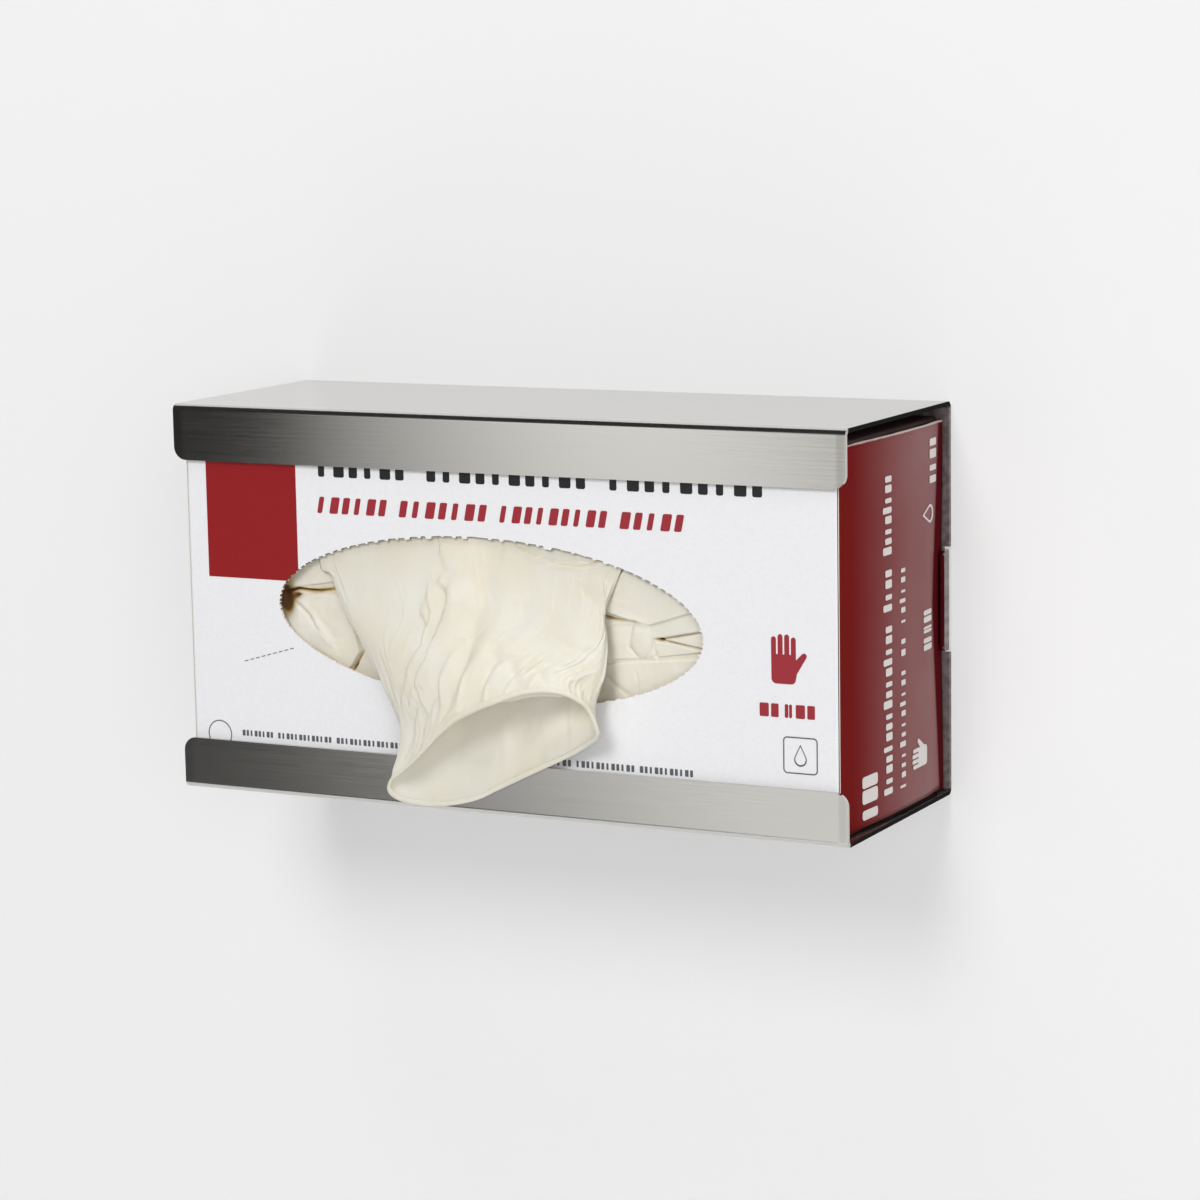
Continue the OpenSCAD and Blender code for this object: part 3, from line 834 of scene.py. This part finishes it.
# Signs
HAND_AT, HAND_SIZE = (EDGE_RIGHT - 19, -15.5), 17
SIGN, SIGN_SIZE, SIGN_LINE = (EDGE_RIGHT - 19.4, -44.4), 12, 0.4
DROP_SIZE, DROP_INNER = 11, 9.2
ROUND_MARK, MARK_RADIUS, MARK_LINE = (-111.2, -47.4), 4.8, 0.35
TEAR_FROM, TEAR_TO = Vector((-100.2, -21.2)), Vector((-79.4, -15.2))
DASHES, DASH_SHARE, DASH_HALF = 9, 0.62, 0.14


def make_front_print():
    """Everything printed on the carton's front."""
    bm = bmesh.new()
    add_plate(bm, rounded(*BLOCK, 0.2), on_front)
    block = make_print("red_block", INK_RED, bm)
    cut(block, window_cutter())
    bm = bmesh.new()
    add_words(bm, RED_TITLE_AT, RED_TITLE_WORDS, 5.6, gap=3.2, lean=0.2)
    make_print("title_red", INK_TITLE, bm)
    bm = bmesh.new()
    add_words(bm, TITLE_AT, TITLE_WORDS, 7, gap=6)
    make_print("title_dark", INK_DARK, bm)
    bm = bmesh.new()
    add_plate(bm, hand_outline(*HAND_AT, HAND_SIZE), on_front)
    add_words(bm, SIZE_AT, SIZE_WORDS, 4.4, gap=0.8, share=0.66)
    make_print("size_sign", INK_TITLE, bm)
    make_small_print()


def make_small_print():
    """Grey lines of print, a framed drop, a round mark and the dashes that lead to the window."""
    bm = bmesh.new()
    add_words(bm, SMALL_LEFT_AT, SMALL_LEFT_WORDS, 2.0, gap=1.4)
    add_words(bm, SMALL_RIGHT_AT, SMALL_RIGHT_WORDS, 2.2, gap=1.2)
    inner_at = (SIGN[0] + SIGN_LINE, SIGN[1] + SIGN_LINE)
    inner_size = SIGN_SIZE - 2 * SIGN_LINE
    add_ring(bm, rounded(*SIGN, SIGN_SIZE, SIGN_SIZE, 1.4),
             rounded(*inner_at, inner_size, inner_size, 1.4 - SIGN_LINE), on_front)
    drop_at = (SIGN[0] + SIGN_SIZE / 2, SIGN[1] + SIGN_SIZE * 0.47)
    add_ring(bm, drop_outline(*drop_at, DROP_SIZE), drop_outline(*drop_at, DROP_INNER), on_front)
    add_ring(bm, arc(*ROUND_MARK, MARK_RADIUS, 0, 350, 35),
             arc(*ROUND_MARK, MARK_RADIUS - MARK_LINE, 0, 350, 35), on_front)
    step = (TEAR_TO - TEAR_FROM) / DASHES
    across = Vector((-step.y, step.x)).normalized() * DASH_HALF
    for i in range(DASHES):
        a = TEAR_FROM + step * i
        b = a + step * DASH_SHARE
        add_plate(bm, [tuple(q) for q in (a - across, b - across, b + across, a + across)], on_front)
    make_print("small_print", INK_GREY, bm)


# On the end flap, places are a height and a distance from the wall
END_COUNT_AT, END_COUNT_WORDS = (-62, 60.2), (15.6,)
END_TITLE_AT, END_TITLE_WORDS = (-57, 48.6), (57, 15, 27)
END_LINE_AT, END_LINE_WORDS = (-57, 37.6), (41, 8, 20)
END_SIZE_AT, END_SIZE_WORDS = (-14.5, 14), (5, 2.6, 5)
END_NUMBER_AT, END_NUMBER_WORDS = (41, 9.6), (16.5,)
END_HAND_AT, END_HAND_SIZE = (-49.5, 19), 13.5
END_DROP_AT, END_DROP_SIZE, END_DROP_INNER = (31, 16.8), 15.5, 11.4


def make_end_print():
    """White print that reads upwards on the right end flap."""
    bm = bmesh.new()
    add_words(bm, END_COUNT_AT, END_COUNT_WORDS, 11.4, up_flap, wide=0.46, share=0.74)
    add_words(bm, END_TITLE_AT, END_TITLE_WORDS, 6.6, up_flap, 3.5, 0.54, 0.6, small=True)
    add_words(bm, END_LINE_AT, END_LINE_WORDS, 4.6, up_flap, 3.0, 0.72, 0.4, small=True)
    add_words(bm, END_SIZE_AT, END_SIZE_WORDS, 7.6, up_flap, 0.9, 0.4, 0.66)
    add_words(bm, END_NUMBER_AT, END_NUMBER_WORDS, 6.2, up_flap, wide=0.62, share=0.6)
    add_plate(bm, hand_outline(*END_HAND_AT, END_HAND_SIZE), up_flap)
    add_ring(bm, drop_outline(*END_DROP_AT, END_DROP_SIZE),
             drop_outline(*END_DROP_AT, END_DROP_INNER), up_flap)
    make_print("end_print", INK_WHITE, bm)


# Gloves

def catmull(points, t, closed=False):
    """Smooth curve through points, t from 0 to 1."""
    count = len(points)
    last = count if closed else count - 1
    s = min(max(t, 0.0), 1.0) * last
    k = min(int(s), last - 1)
    u = s - k
    if closed:
        a, b, c, d = (points[(k + i - 1) % count] for i in range(4))
    else:
        a, b, c, d = (points[min(max(k + i - 1, 0), count - 1)] for i in range(4))
    return 0.5 * (2 * b + (c - a) * u + (2 * a - 5 * b + 4 * c - d) * u ** 2
                  + (3 * b - a - 3 * c + d) * u ** 3)


def rail(*points):
    """Points of a rail as vectors."""
    return [Vector(p) for p in points]


# Rails of the pulled glove from inside the carton to its cuff, in millimetres
LEFT_RAIL = rail((-66, -85.2, 36), (-67, -86, 17), (-58.5, -89.5, -1), (-51, -92, -12),
                 (-41, -95, -26), (-33.5, -98, -41), (-37.5, -100, -57.5))
RIGHT_RAIL = rail((47, -85.4, 36), (44.6, -86.0, 19), (38.6, -88.0, 5), (40.8, -90.6, -5),
                  (41, -94, -15), (39.4, -97.2, -23.5), (42, -100, -32))
FRONT_RAIL = rail((-15, -87.1, 37), (-14, -87.2, 22), (-8, -93, 5), (-4, -97, -5),
                  (0, -101.5, -13), (2.5, -105.5, -19), (3, -108, -23.8))
BACK_RAIL = rail((-15, -84, 37), (-14, -84.6, 18), (-8, -86.8, -1), (-4, -88.4, -12),
                 (0, -89.4, -25), (-3, -90.8, -42), (-7.5, -91.6, -58.8))
# The cuff's rim from the right over the front, in steps of 15 degrees
RIM = rail((41.6, -100.5, -32), (39.3, -102, -25.5), (36.2, -104, -22.2), (31.7, -105.6, -20.1),
           (25.3, -106.6, -19.6), (17.6, -107.4, -20.8), (7.6, -107.8, -24.4), (-1.4, -107.4, -28.2),
           (-9.4, -106.6, -32.8), (-16.6, -105.2, -38.8), (-23.4, -103.6, -45.3), (-30.6, -101.6, -51.2),
           (-36.2, -99.8, -55.2), (-38.4, -97.8, -59.3), (-36.4, -95.6, -62.4), (-31, -93.6, -64),
           (-20.5, -92.2, -64), (-8.4, -91.9, -61.1), (0.4, -91.9, -56.8), (9.2, -92, -52.4),
           (18.2, -92.4, -48), (27.6, -93.4, -43.4), (36, -96, -38.6), (40.5, -98.6, -35.4))

# Creases of the hanging glove, each along points of (share of the way down, angle round the film),
# with its width and depth in millimetres. A crease is a valley with a raised lip beside it.
CREASES = [
    ([(0.15, 98), (0.24, 97), (0.27, 101), (0.315, 99), (0.38, 102), (0.50, 108), (0.615, 120),
      (0.71, 144)], 1.1, 0.9),
    ([(0.20, 100), (0.25, 104), (0.30, 109), (0.36, 114), (0.44, 114), (0.54, 120), (0.60, 131),
      (0.66, 142), (0.71, 156), (0.80, 178)], 1.2, 1.0),
    ([(0.26, 94), (0.30, 97.5), (0.345, 100.5)], 0.9, 0.6),
    ([(0.22, 76), (0.29, 78), (0.345, 81), (0.42, 85), (0.52, 90), (0.61, 96), (0.705, 103),
      (0.785, 111), (0.855, 118), (0.91, 123)], 1.9, 1.2),
    ([(0.54, 99), (0.60, 106.5), (0.665, 114), (0.72, 121), (0.77, 128), (0.825, 138),
      (0.86, 146)], 1.1, 0.8),
    ([(0.45, 68), (0.50, 75), (0.56, 81), (0.61, 83.5), (0.65, 83.5)], 1.3, 0.9),
    ([(0.68, 85), (0.76, 89.5), (0.84, 94)], 0.9, 0.7),
    ([(0.37, 108), (0.46, 109), (0.555, 115), (0.63, 124.5), (0.70, 138), (0.75, 152)], 0.9, 0.8),
    ([(0.13, 114), (0.21, 117), (0.26, 118)], 1.6, 0.4),
    ([(0.25, 36), (0.28, 29), (0.305, 23), (0.35, 14)], 1.3, 1.0),
    ([(0.21, 33), (0.20, 24), (0.21, 14)], 1.4, 0.8),
    ([(0.32, 61.5), (0.385, 63), (0.46, 65.5)], 1.6, 0.5),
    ([(0.735, 138), (0.78, 148.5), (0.84, 162), (0.90, 165)], 1.2, 0.8),
    ([(0.66, 77), (0.76, 76), (0.89, 73.5)], 1.1, 0.5),
    ([(0.52, 48), (0.58, 36.5), (0.58, 19.5)], 1.6, 0.4),
    ([(0.72, 62), (0.80, 58), (0.92, 55)], 1.2, 0.45),
    ([(0.62, 60), (0.70, 50), (0.74, 38)], 1.4, 0.4)]
# Rim of the next glove, which shows through the film at the top right
NEXT_RIM = [(0.15, 70), (0.18, 62), (0.192, 55.5), (0.201, 50), (0.20, 41.5), (0.188, 34.5), (0.164, 28)]
# All creases stand out by this factor, and those of the film are also wider and deeper than listed
CREASE_RELIEF = 1.35
CREASE_WIDE = 1.4
CREASE_DEEP = 1.2
# Length of the film and width of one degree round it
FILM_LENGTH = 115.0
FILM_DEGREE = 0.62
# Fine wrinkles: waves for each degree round the film, height and a seed
WRINKLES = ((0.06, 0.9, 5.0), (0.13, 0.6, 8.0), (0.26, 0.28, 11.0))
WRINKLE_LEAN = 48
# Soft bulge of the film at its middle right: place and reach on the unrolled film
BULGE, BULGE_AT, BULGE_REACH = 0.9, (84, 65), (9, 13)


def on_film(t, angle):
    """Place on the unrolled film, in millimetres."""
    return angle * FILM_DEGREE, t * FILM_LENGTH


def near_path(p, path):
    """Distance to a bent line, the side of it that the point lies on, 1 for its left, and how far along."""
    best = (1e9, 1.0, 0.0)
    for i, (a, b) in enumerate(zip(path, path[1:])):
        dx, dz = b[0] - a[0], b[1] - a[1]
        t = min(1.0, max(0.0, ((p[0] - a[0]) * dx + (p[1] - a[1]) * dz) / (dx * dx + dz * dz)))
        d = math.hypot(p[0] - a[0] - t * dx, p[1] - a[1] - t * dz)
        if d < best[0]:
            hand = math.copysign(1.0, dx * (p[1] - a[1]) - dz * (p[0] - a[0]))
            best = (d, hand, (i + t) / (len(path) - 1))
    return best


def pit(p, at, reach, deep):
    """Soft hollow or bulge round a point."""
    u = math.hypot((p[0] - at[0]) / reach[0], (p[1] - at[1]) / reach[1])
    return deep * math.exp(-u ** 2)


def crease(p, path, width, deep):
    """Fold along a bent line: a ridge on its left falls to a valley on its right. It fades at both ends."""
    reach = 7 * width
    if not min(q[0] for q in path) - reach < p[0] < max(q[0] for q in path) + reach:
        return 0.0
    if not min(q[1] for q in path) - reach < p[1] < max(q[1] for q in path) + reach:
        return 0.0
    d, hand, along = near_path(p, path)
    u = hand * d / width
    fade = math.sin(math.pi * min(1.0, max(0.0, 0.03 + 0.94 * along))) ** 0.5
    ridge = 0.85 * math.exp(-((u - 1.3) / 1.5) ** 2) + 0.3 * math.exp(-((u - 3.8) / 2.4) ** 2)
    valley = 0.8 * math.exp(-(u + 0.8) ** 2)
    return CREASE_RELIEF * deep * fade * (ridge - valley)


FILM_CREASES = [([on_film(*q) for q in path], CREASE_WIDE * width, CREASE_DEEP * deep)
                for path, width, deep in CREASES]
FILM_RIM = [on_film(*q) for q in NEXT_RIM]


def off_seam(angle):
    """0 where the film's two ends meet on its right, 1 at some distance from there."""
    return smooth(min(angle, 360 - angle) / 16)


def wrinkles(t, angle):
    """Fine wrinkles that run down the film in patches and lean towards the cuff's left."""
    lean = angle - WRINKLE_LEAN * smooth((t - 0.3) / 0.65)
    wander = 5 * noise.noise(Vector((lean * 0.03, t * 4, 1.3)))
    lift = 0.0
    for scale, height, seed in WRINKLES:
        wave = noise.noise(Vector(((lean + wander) * scale, t * 2.6, seed)))
        patch = smooth(0.6 + 1.6 * noise.noise(Vector((lean * 0.02, t * 3.1, seed + 20))))
        lift += height * patch * (max(0.0, 1 - 3.2 * abs(wave)) ** 1.5 + 0.9 * wave)
    return lift


def film_lift(t, angle):
    """How far the film's folds stand out at t down the glove and an angle round it, in millimetres."""
    p = on_film(t, angle)
    lift = sum(crease(p, *line) for line in FILM_CREASES)
    lift += crease(p, FILM_RIM, 0.8, -1.1)
    lift += pit(p, BULGE_AT, BULGE_REACH, BULGE)
    lift += 0.8 * noise.noise(Vector((angle * 0.03, t * 2.2, 4.0)))
    return (lift + wrinkles(t, angle)) * smooth(t / 0.12) * off_seam(angle)


SECTION_POWER = 0.85
RIM_MIDDLE = sum(RIM, Vector()) / len(RIM)
RIM_FROM = 0.35


def loft(t, turn):
    """Middle of the glove at t down its rails, and the point of its plain section at a turn in radians."""
    left, right = catmull(LEFT_RAIL, t), catmull(RIGHT_RAIL, t)
    middle = (left + right) / 2
    reach = catmull(FRONT_RAIL if math.sin(turn) >= 0 else BACK_RAIL, t) - middle
    half = (right - left) / 2
    return middle, middle + half * math.cos(turn) + reach * abs(math.sin(turn)) ** SECTION_POWER


def glove_place(t, angle, inset):
    """Point of the film at t down the glove and an angle round it, inset inwards, in millimetres."""
    middle, base = loft(t, math.radians(angle))
    end_middle, end = loft(1, math.radians(angle))
    to_rim = smooth((t - RIM_FROM) / (1 - RIM_FROM))
    rim = catmull(RIM, angle % 360 / 360, closed=True)
    base = base + (rim - end) * to_rim
    inward = middle + (RIM_MIDDLE - end_middle) * to_rim - base
    return base + inward.normalized() * inset


# Steps over the front and back, down the glove, round its bead and back up inside it
GLOVE_FRONT = 250
GLOVE_BACK = 90
GLOVE_DOWN = 140
GLOVE_BEAD = 9
GLOVE_INNER = 90
# Thickness of the film and radius of the bead
FILM = 0.3
BEAD = 0.85
# The bead starts inside the film's outer face and turns most of the way round, in degrees
BEAD_FROM, BEAD_TURN = -60, 300
# Above this height the film's left edge steps out to the left
HEM_STEP = 3.4
HEM_Z = 10.9
# Move of the inner film, backwards and down, where it hangs out under the rim
SECOND_LIP = Vector((1.6, -2.4))
# How far the film lies behind the window's edge at its top
BEHIND_BOARD = 0.4
# Painted tan shade along the next glove's rim, and on the film near the window's top
RIM_PAINTED_SHADE, TOP_PAINTED_SHADE = 0.34, 0.19


def film_angle(share):
    """Angle round the glove: most columns lie on the front, which shows."""
    front = GLOVE_FRONT / (GLOVE_FRONT + GLOVE_BACK)
    if share < front:
        return 180 * share / front
    return 180 + 180 * (share - front) / (1 - front)


def glove_rows():
    """Rows of the pulled glove: how far down, how far in, and the turn about the bead."""
    rows = [(i / GLOVE_DOWN, 0.0, None) for i in range(GLOVE_DOWN)]
    rows += [(1.0, 0.0, math.radians(BEAD_FROM + BEAD_TURN * i / GLOVE_BEAD)) for i in range(GLOVE_BEAD + 1)]
    rows += [(1 - ((i + 1) / GLOVE_INNER) ** 1.5, FILM, None) for i in range(GLOVE_INNER)]
    return rows + rows[:1]


def second_lip(t, angle):
    """How far the inner film hangs out under the rim's top, as a share."""
    reach = smooth((angle - 36) / 14) * smooth((94 - angle) / 16)
    return reach * math.exp(-((t - 0.992) / 0.007) ** 2)


def behind_rim(t):
    """0 at the cuff's rim, 1 from some way behind it."""
    return smooth((0.995 - t) / 0.16)


def how_deep_inside(t, angle):
    """Share of the shade inside the cuff: less at the rim, and at the right where light falls in."""
    right = smooth((math.cos(math.radians(angle)) - 0.5) / 0.4)
    mottled = 0.85 + 0.9 * noise.noise(Vector((angle * 0.045, t * 9, 31))) * off_seam(angle)
    return behind_rim(t) * mix(1.0, 0.16, right) * mottled


def make_pulled_glove():
    """The hanging glove: film outside, round its bead and back up inside."""
    rows = glove_rows()
    bm = bmesh.new()
    depth = bm.verts.layers.float.new("depth")
    inside = bm.verts.layers.float.new("inside")
    glow = bm.verts.layers.float.new("glow")
    bmesh.ops.create_grid(bm, x_segments=GLOVE_FRONT + GLOVE_BACK, y_segments=len(rows) - 1, size=1)
    for v in bm.verts:
        t, inset, turn = rows[round((v.co.y + 1) / 2 * (len(rows) - 1))]
        angle = film_angle((v.co.x + 1) / 2) % 360
        p = glove_place(t, angle, inset)
        if turn is None:
            outward = (glove_place(t, angle, 0) - glove_place(t, angle, 1)).normalized()
            p = p + outward * film_lift(t, angle) * (1 - smooth((t - 0.95) / 0.05))
            if inset:
                p = p + Vector((0, SECOND_LIP.x, SECOND_LIP.y)) * second_lip(t, angle)
            p.y += BEHIND_BOARD * (1 - smooth((t - 0.11) / 0.08))
            edge = 1 - smooth(abs(angle - 180) / 26)
            p.x -= HEM_STEP * edge * smooth((p.z - HEM_Z) / 0.9)
        else:
            down = (glove_place(1, angle, 0) - glove_place(0.97, angle, 0)).normalized()
            outward = (glove_place(1, angle, 0) - glove_place(1, angle, 1)).normalized()
            centre = glove_place(1, angle, FILM / 2)
            p = centre + (outward * math.cos(turn) + down * math.sin(turn)) * BEAD
        v.co = p * MM
        # Painted shade: tan along the next glove's rim and near the window's top, darker inside the cuff,
        # with a painted glow there
        rim_line = math.exp(-(near_path(on_film(t, angle), FILM_RIM)[0] / 0.7) ** 2)
        outside = turn is None and not inset
        v[depth] = max(RIM_PAINTED_SHADE * rim_line, TOP_PAINTED_SHADE * (1 - smooth(t / 0.5))) if outside else 0.0
        v[inside] = how_deep_inside(t, angle) if inset else 0.0
        v[glow] = behind_rim(t) if inset else 0.0
    bmesh.ops.remove_doubles(bm, verts=bm.verts, dist=0.002 * MM)
    bmesh.ops.recalc_face_normals(bm, faces=bm.faces)
    glove = new_object("hanging_glove", bm, [LATEX])
    shade_smooth(glove, 180)
    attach(glove, "root")
    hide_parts("pulled_glove")


# Folded gloves that fill the window beside the hanging one

PILE_BACK = 8.6 * MM
PILE_FRONT = CARTON_FRONT + PILE_BACK
# Base and top of the folds before the pile, and the width of a tightly rolled edge
FOLD_BASE = 1.2
FOLD_TOP = 6.6
ROLL = 0.45


def left_of(p, a, b):
    """Distance of a point from the line through a and b, positive on its left."""
    dx, dz = b[0] - a[0], b[1] - a[1]
    return (dx * (p[1] - a[1]) - dz * (p[0] - a[0])) / math.hypot(dx, dz)


def rolled(distance, width):
    """Height of a folded edge that rolls up over its width."""
    if distance <= 0:
        return 0.0
    return math.sqrt(1 - (1 - min(distance / width, 1.0)) ** 2)


def fold(p, lines, width, height):
    """Height of one flat fold, bounded by lines and rolled at its edges."""
    return height * rolled(min(left_of(p, a, b) for a, b in lines), width)


def groove(p, path, width, deep):
    """Narrow groove along a bent line that fades at its ends."""
    d, _, along = near_path(p, path)
    fade = math.sin(math.pi * min(1.0, max(0.0, 0.06 + 0.88 * along))) ** 0.5
    return deep * fade * math.exp(-(d / width) ** 2)


# Grooves of the folded gloves, each with its path, width and depth in millimetres
LEFT_GROOVES = [
    ([(-87, 3.2), (-84, 3.6), (-80.5, 4.5), (-76, 4.2), (-72, 4.2), (-63, 5.6)], 0.5, 1.9),
    ([(-75, -15.6), (-70, -18), (-65, -20.6)], 0.8, 0.35),
    ([(-55.2, -15.4), (-57.4, -18.6), (-58.9, -21.4), (-60.8, -24)], 0.45, 1.3),
    ([(-57.6, -20), (-59.4, -21.6), (-62.5, -23.4)], 0.4, 0.7)]
RIGHT_GROOVES = [
    ([(35.4, 2.2), (38, 1.6), (40.6, 1.1), (44.5, 1.0)], 0.6, 2.0),
    ([(47.4, -1.5), (46.4, -5), (45.6, -7.6), (48, -9.6), (50.3, -11.4)], 0.45, 0.4),
    ([(50.3, -11.4), (53.6, -10.8), (56.2, -9.9), (56.4, -7)], 0.4, 0.3),
    ([(48.6, -16), (49.3, -19.9), (48.8, -25)], 0.45, 0.4),
    ([(36, -17), (41, -21), (46, -23.5)], 1.0, 0.35),
    ([(73.6, -1.1), (65, -2.9), (57, -4.6)], 0.3, 0.9),
    ([(73.6, -7.1), (65, -5.8), (57, -4.7)], 0.3, 0.9)]


def left_folds(p):
    """Front of the second glove, left of the hanging one, in millimetres over its base."""
    upper = fold(p, [((-90, 3.4), (-80.5, 5.0)), ((-80.5, 5.0), (-72, 4.6)),
                     ((-74, 4.4), (-60, 6.6))], ROLL, 4.1)
    upper -= 0.9 * smooth((-73 - p[0]) / 12)
    lobe = fold(p, [((-60, 5.4), (-72, 3.8)), ((-70, 3.8), (-80, 3.8)), ((-60.3, -24), (-55.2, -15.7)),
                    ((-55.2, -15.7), (-58.8, -4))], 1.0, 4.6)
    lobe -= 2.0 * smooth((-79.5 - p[0]) / 6) * smooth((12 + p[1]) / 12)
    lobe -= 0.7 * smooth((-70 - p[0]) / 9) * smooth((p[1] + 12) / 14)
    panel = fold(p, [((-58, -23.4), (-46, -27.6)), ((-54.6, -15.4), (-58.4, -22.8))], ROLL, 3.9)
    strip = fold(p, [((-44, -28.6), (-58.4, -23.8)), ((-57, -22.0), (-60.2, -26.5))], ROLL, 4.2)
    height = max(3.0, upper, lobe, panel, strip)
    height -= sum(groove(p, *line) for line in LEFT_GROOVES)
    height -= pit(p, (-80.9, 2.0), (1.9, 1.1), 2.0) + pit(p, (-85.2, -0.5), (2.3, 4.4), 1.9)
    height += crease(p, [(-81.8, 1.0), (-79.1, -0.9), (-75.2, -4.1), (-72.9, -7.4), (-70.6, -9.7)], 0.8, 0.5)
    height -= crease(p, [(-74, -5.2), (-70, -9.5), (-67, -13)], 1.2, 0.4)
    return height


def right_folds(p):
    """Front of the third glove, right of the hanging one, in millimetres over its base."""
    flat = fold(p, [((46, 20.5), (40.4, 13)), ((40.4, 13), (35.4, 2.6)), ((35.8, 3.6), (44.2, 1.5)),
                    ((44.2, 1.5), (53.4, -0.5)), ((53.4, -0.5), (73, 5.9))], 0.7, 4.7)
    first = fold(p, [((73, 5.5), (53.6, -0.9)), ((56.6, -4.4), (73.6, -0.9)),
                     ((53.2, 0), (54.8, -5))], ROLL, 4.5)
    wedge = fold(p, [((73.6, -1.3), (56.8, -4.7)), ((57.4, -4.5), (73.6, -6.9))], ROLL, 4.2)
    third = fold(p, [((73.6, -7.3), (57.2, -4.8)), ((46.5, -12.2), (57.4, -10.5)),
                     ((57.4, -10.5), (74, -8.6)), ((54.6, -4.4), (56.2, -10.6))], ROLL, 4.3)
    band = fold(p, [((74, -8.9), (57.4, -10.8)), ((57.4, -10.8), (46.5, -12.5)),
                    ((46.5, -12.5), (34, -13.8))], ROLL, 4.5)
    neck = fold(p, [((30, -13.6), (48, -12.2)), ((56, -11.8), (54, 0.6)), ((54, 0.2), (46, 1.0)),
                    ((46, 1.0), (30, -0.4))], 1.0, 4.1)
    egg = 1 - ((p[0] - 50.6) / 4.2) ** 2 - ((p[1] + 4.8) / 6.4) ** 2
    knot = 3.9 + 1.25 * math.sqrt(egg) if egg > 0 else 0.0
    height = max(3.5, flat, first, wedge, third, neck, band, knot)
    height -= 1.3 * smooth((45 - p[0]) / 10) * smooth((-12 - p[1]) / 6)
    height -= 0.7 * smooth((43 - p[0]) / 8) * smooth((p[1] + 13) / 4) * smooth((1 - p[1]) / 4)
    height += crease(p, [(53, -0.4), (48, 1.0), (44, 0.6), (40, 0.2), (36.5, -0.6)], 0.9, -0.5)
    height -= sum(groove(p, *line) for line in RIGHT_GROOVES)
    height -= pit(p, (57.0, -4.6), (1.3, 0.55), 2.2)
    return height


def hanging_left(z):
    """Left edge of the hanging glove at a height, as it hides the folds behind it."""
    return -66 + 26 * smooth((16 - z) / 46)


def hanging_right(z):
    """Right edge of the hanging glove at a height."""
    return mix(33, 42, smooth((z - 3) / 12))


# Unevenness of the folded film: cells for each millimetre, height and a seed
UNEVEN = ((0.14, 0.30, 2.0), (0.5, 0.07, 7.0))
# Share of the folds' height that is left where the hanging glove covers them
COVERED = 0.35


def make_folded_glove(name, low, high, steps, folds, stands_for):
    """Closed glove front: a fine heightfield that sinks where the hanging glove covers it."""
    bm = bmesh.new()
    depth = bm.verts.layers.float.new("depth")
    bmesh.ops.create_grid(bm, x_segments=steps[0], y_segments=steps[1], size=1)
    for v in bm.verts:
        u, w = (v.co.x + 1) / 2, (v.co.y + 1) / 2
        p = (mix(low[0], high[0], u), mix(low[1], high[1], w))
        height = folds(p)
        for scale, uneven, seed in UNEVEN:
            height += uneven * noise.noise(Vector((p[0] * scale, p[1] * scale, seed)))
        height = min(max(height, 0.3), FOLD_TOP - FOLD_BASE)
        open_by = hanging_left(p[1]) - p[0] if p[0] < 0 else p[0] - hanging_right(p[1])
        shown = mix(COVERED, 1.0, smooth((open_by + 4) / 3.5))
        # Painted shade: tan in the hollows, by how low the film lies, and towards the window's left end
        shade = 0.4 * smooth((-78 - p[0]) / 8) * smooth((p[1] + 6) / 6)
        v[depth] = smooth((3.8 - height) / 2.9 + shade)
        v.co = (p[0] * MM, PILE_FRONT - (FOLD_BASE + height * shown) * MM, p[1] * MM)
    rim = [e for e in bm.edges if e.is_boundary]
    skirt = bmesh.ops.extrude_edge_only(bm, edges=rim)
    for g in skirt["geom"]:
        if isinstance(g, bmesh.types.BMVert):
            g.co.y = PILE_FRONT
    bmesh.ops.holes_fill(bm, edges=[e for e in bm.edges if e.is_boundary], sides=0)
    bmesh.ops.recalc_face_normals(bm, faces=bm.faces)
    glove = new_object(name, bm, [LATEX])
    shade_smooth(glove, 75)
    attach(glove, "root")
    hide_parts(stands_for)


PILE_LAYERS = 22
PILE_CORNER = 14 * MM
LAYER_TRIM = 0.6 * MM
LAYER_ROUND = 0.42


def make_pile():
    """Pile of flat folded gloves: one slab with rounded sides for each layer that shows."""
    low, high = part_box("glove_stack")
    thick = (high.y - low.y) / PILE_LAYERS
    whole = bmesh.new()
    for i in range(PILE_LAYERS):
        trim = LAYER_TRIM * (i * 4 % 5)
        size = Vector((high.x - low.x - trim, thick, high.z - low.z - trim / 2))
        layer = solid_box(size, Vector((0, low.y + (i + 0.5) * thick, (low.z + high.z) / 2)))
        tall = [e for e in layer.edges if abs((e.verts[0].co - e.verts[1].co).y) > thick / 2]
        round_edges(layer, tall, PILE_CORNER, 10)
        rims = [e for e in layer.edges if e.is_manifold and e.calc_face_angle() > 1]
        round_edges(layer, rims, thick * LAYER_ROUND, 3)
        mesh = bpy.data.meshes.new("layer")
        layer.to_mesh(mesh)
        layer.free()
        whole.from_mesh(mesh)
        bpy.data.meshes.remove(mesh)
    pile = new_object("glove_pile", whole, [LATEX])
    shade_smooth(pile, 60)
    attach(pile, "root")
    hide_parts("glove_stack")


make_holder()
make_sleeve()
make_end_flap(1, "end_flap_right")
make_end_flap(-1, "end_flap_left")
make_front_print()
make_end_print()
make_pile()
# Low and high corners in X and Z in millimetres, and steps each way
make_folded_glove("folded_glove_left", (-90, -33), (-26, 30), (210, 210), left_folds, "second_glove")
make_folded_glove("folded_glove_right", (28, -33), (80, 30), (208, 252), right_folds, "third_glove")
make_pulled_glove()
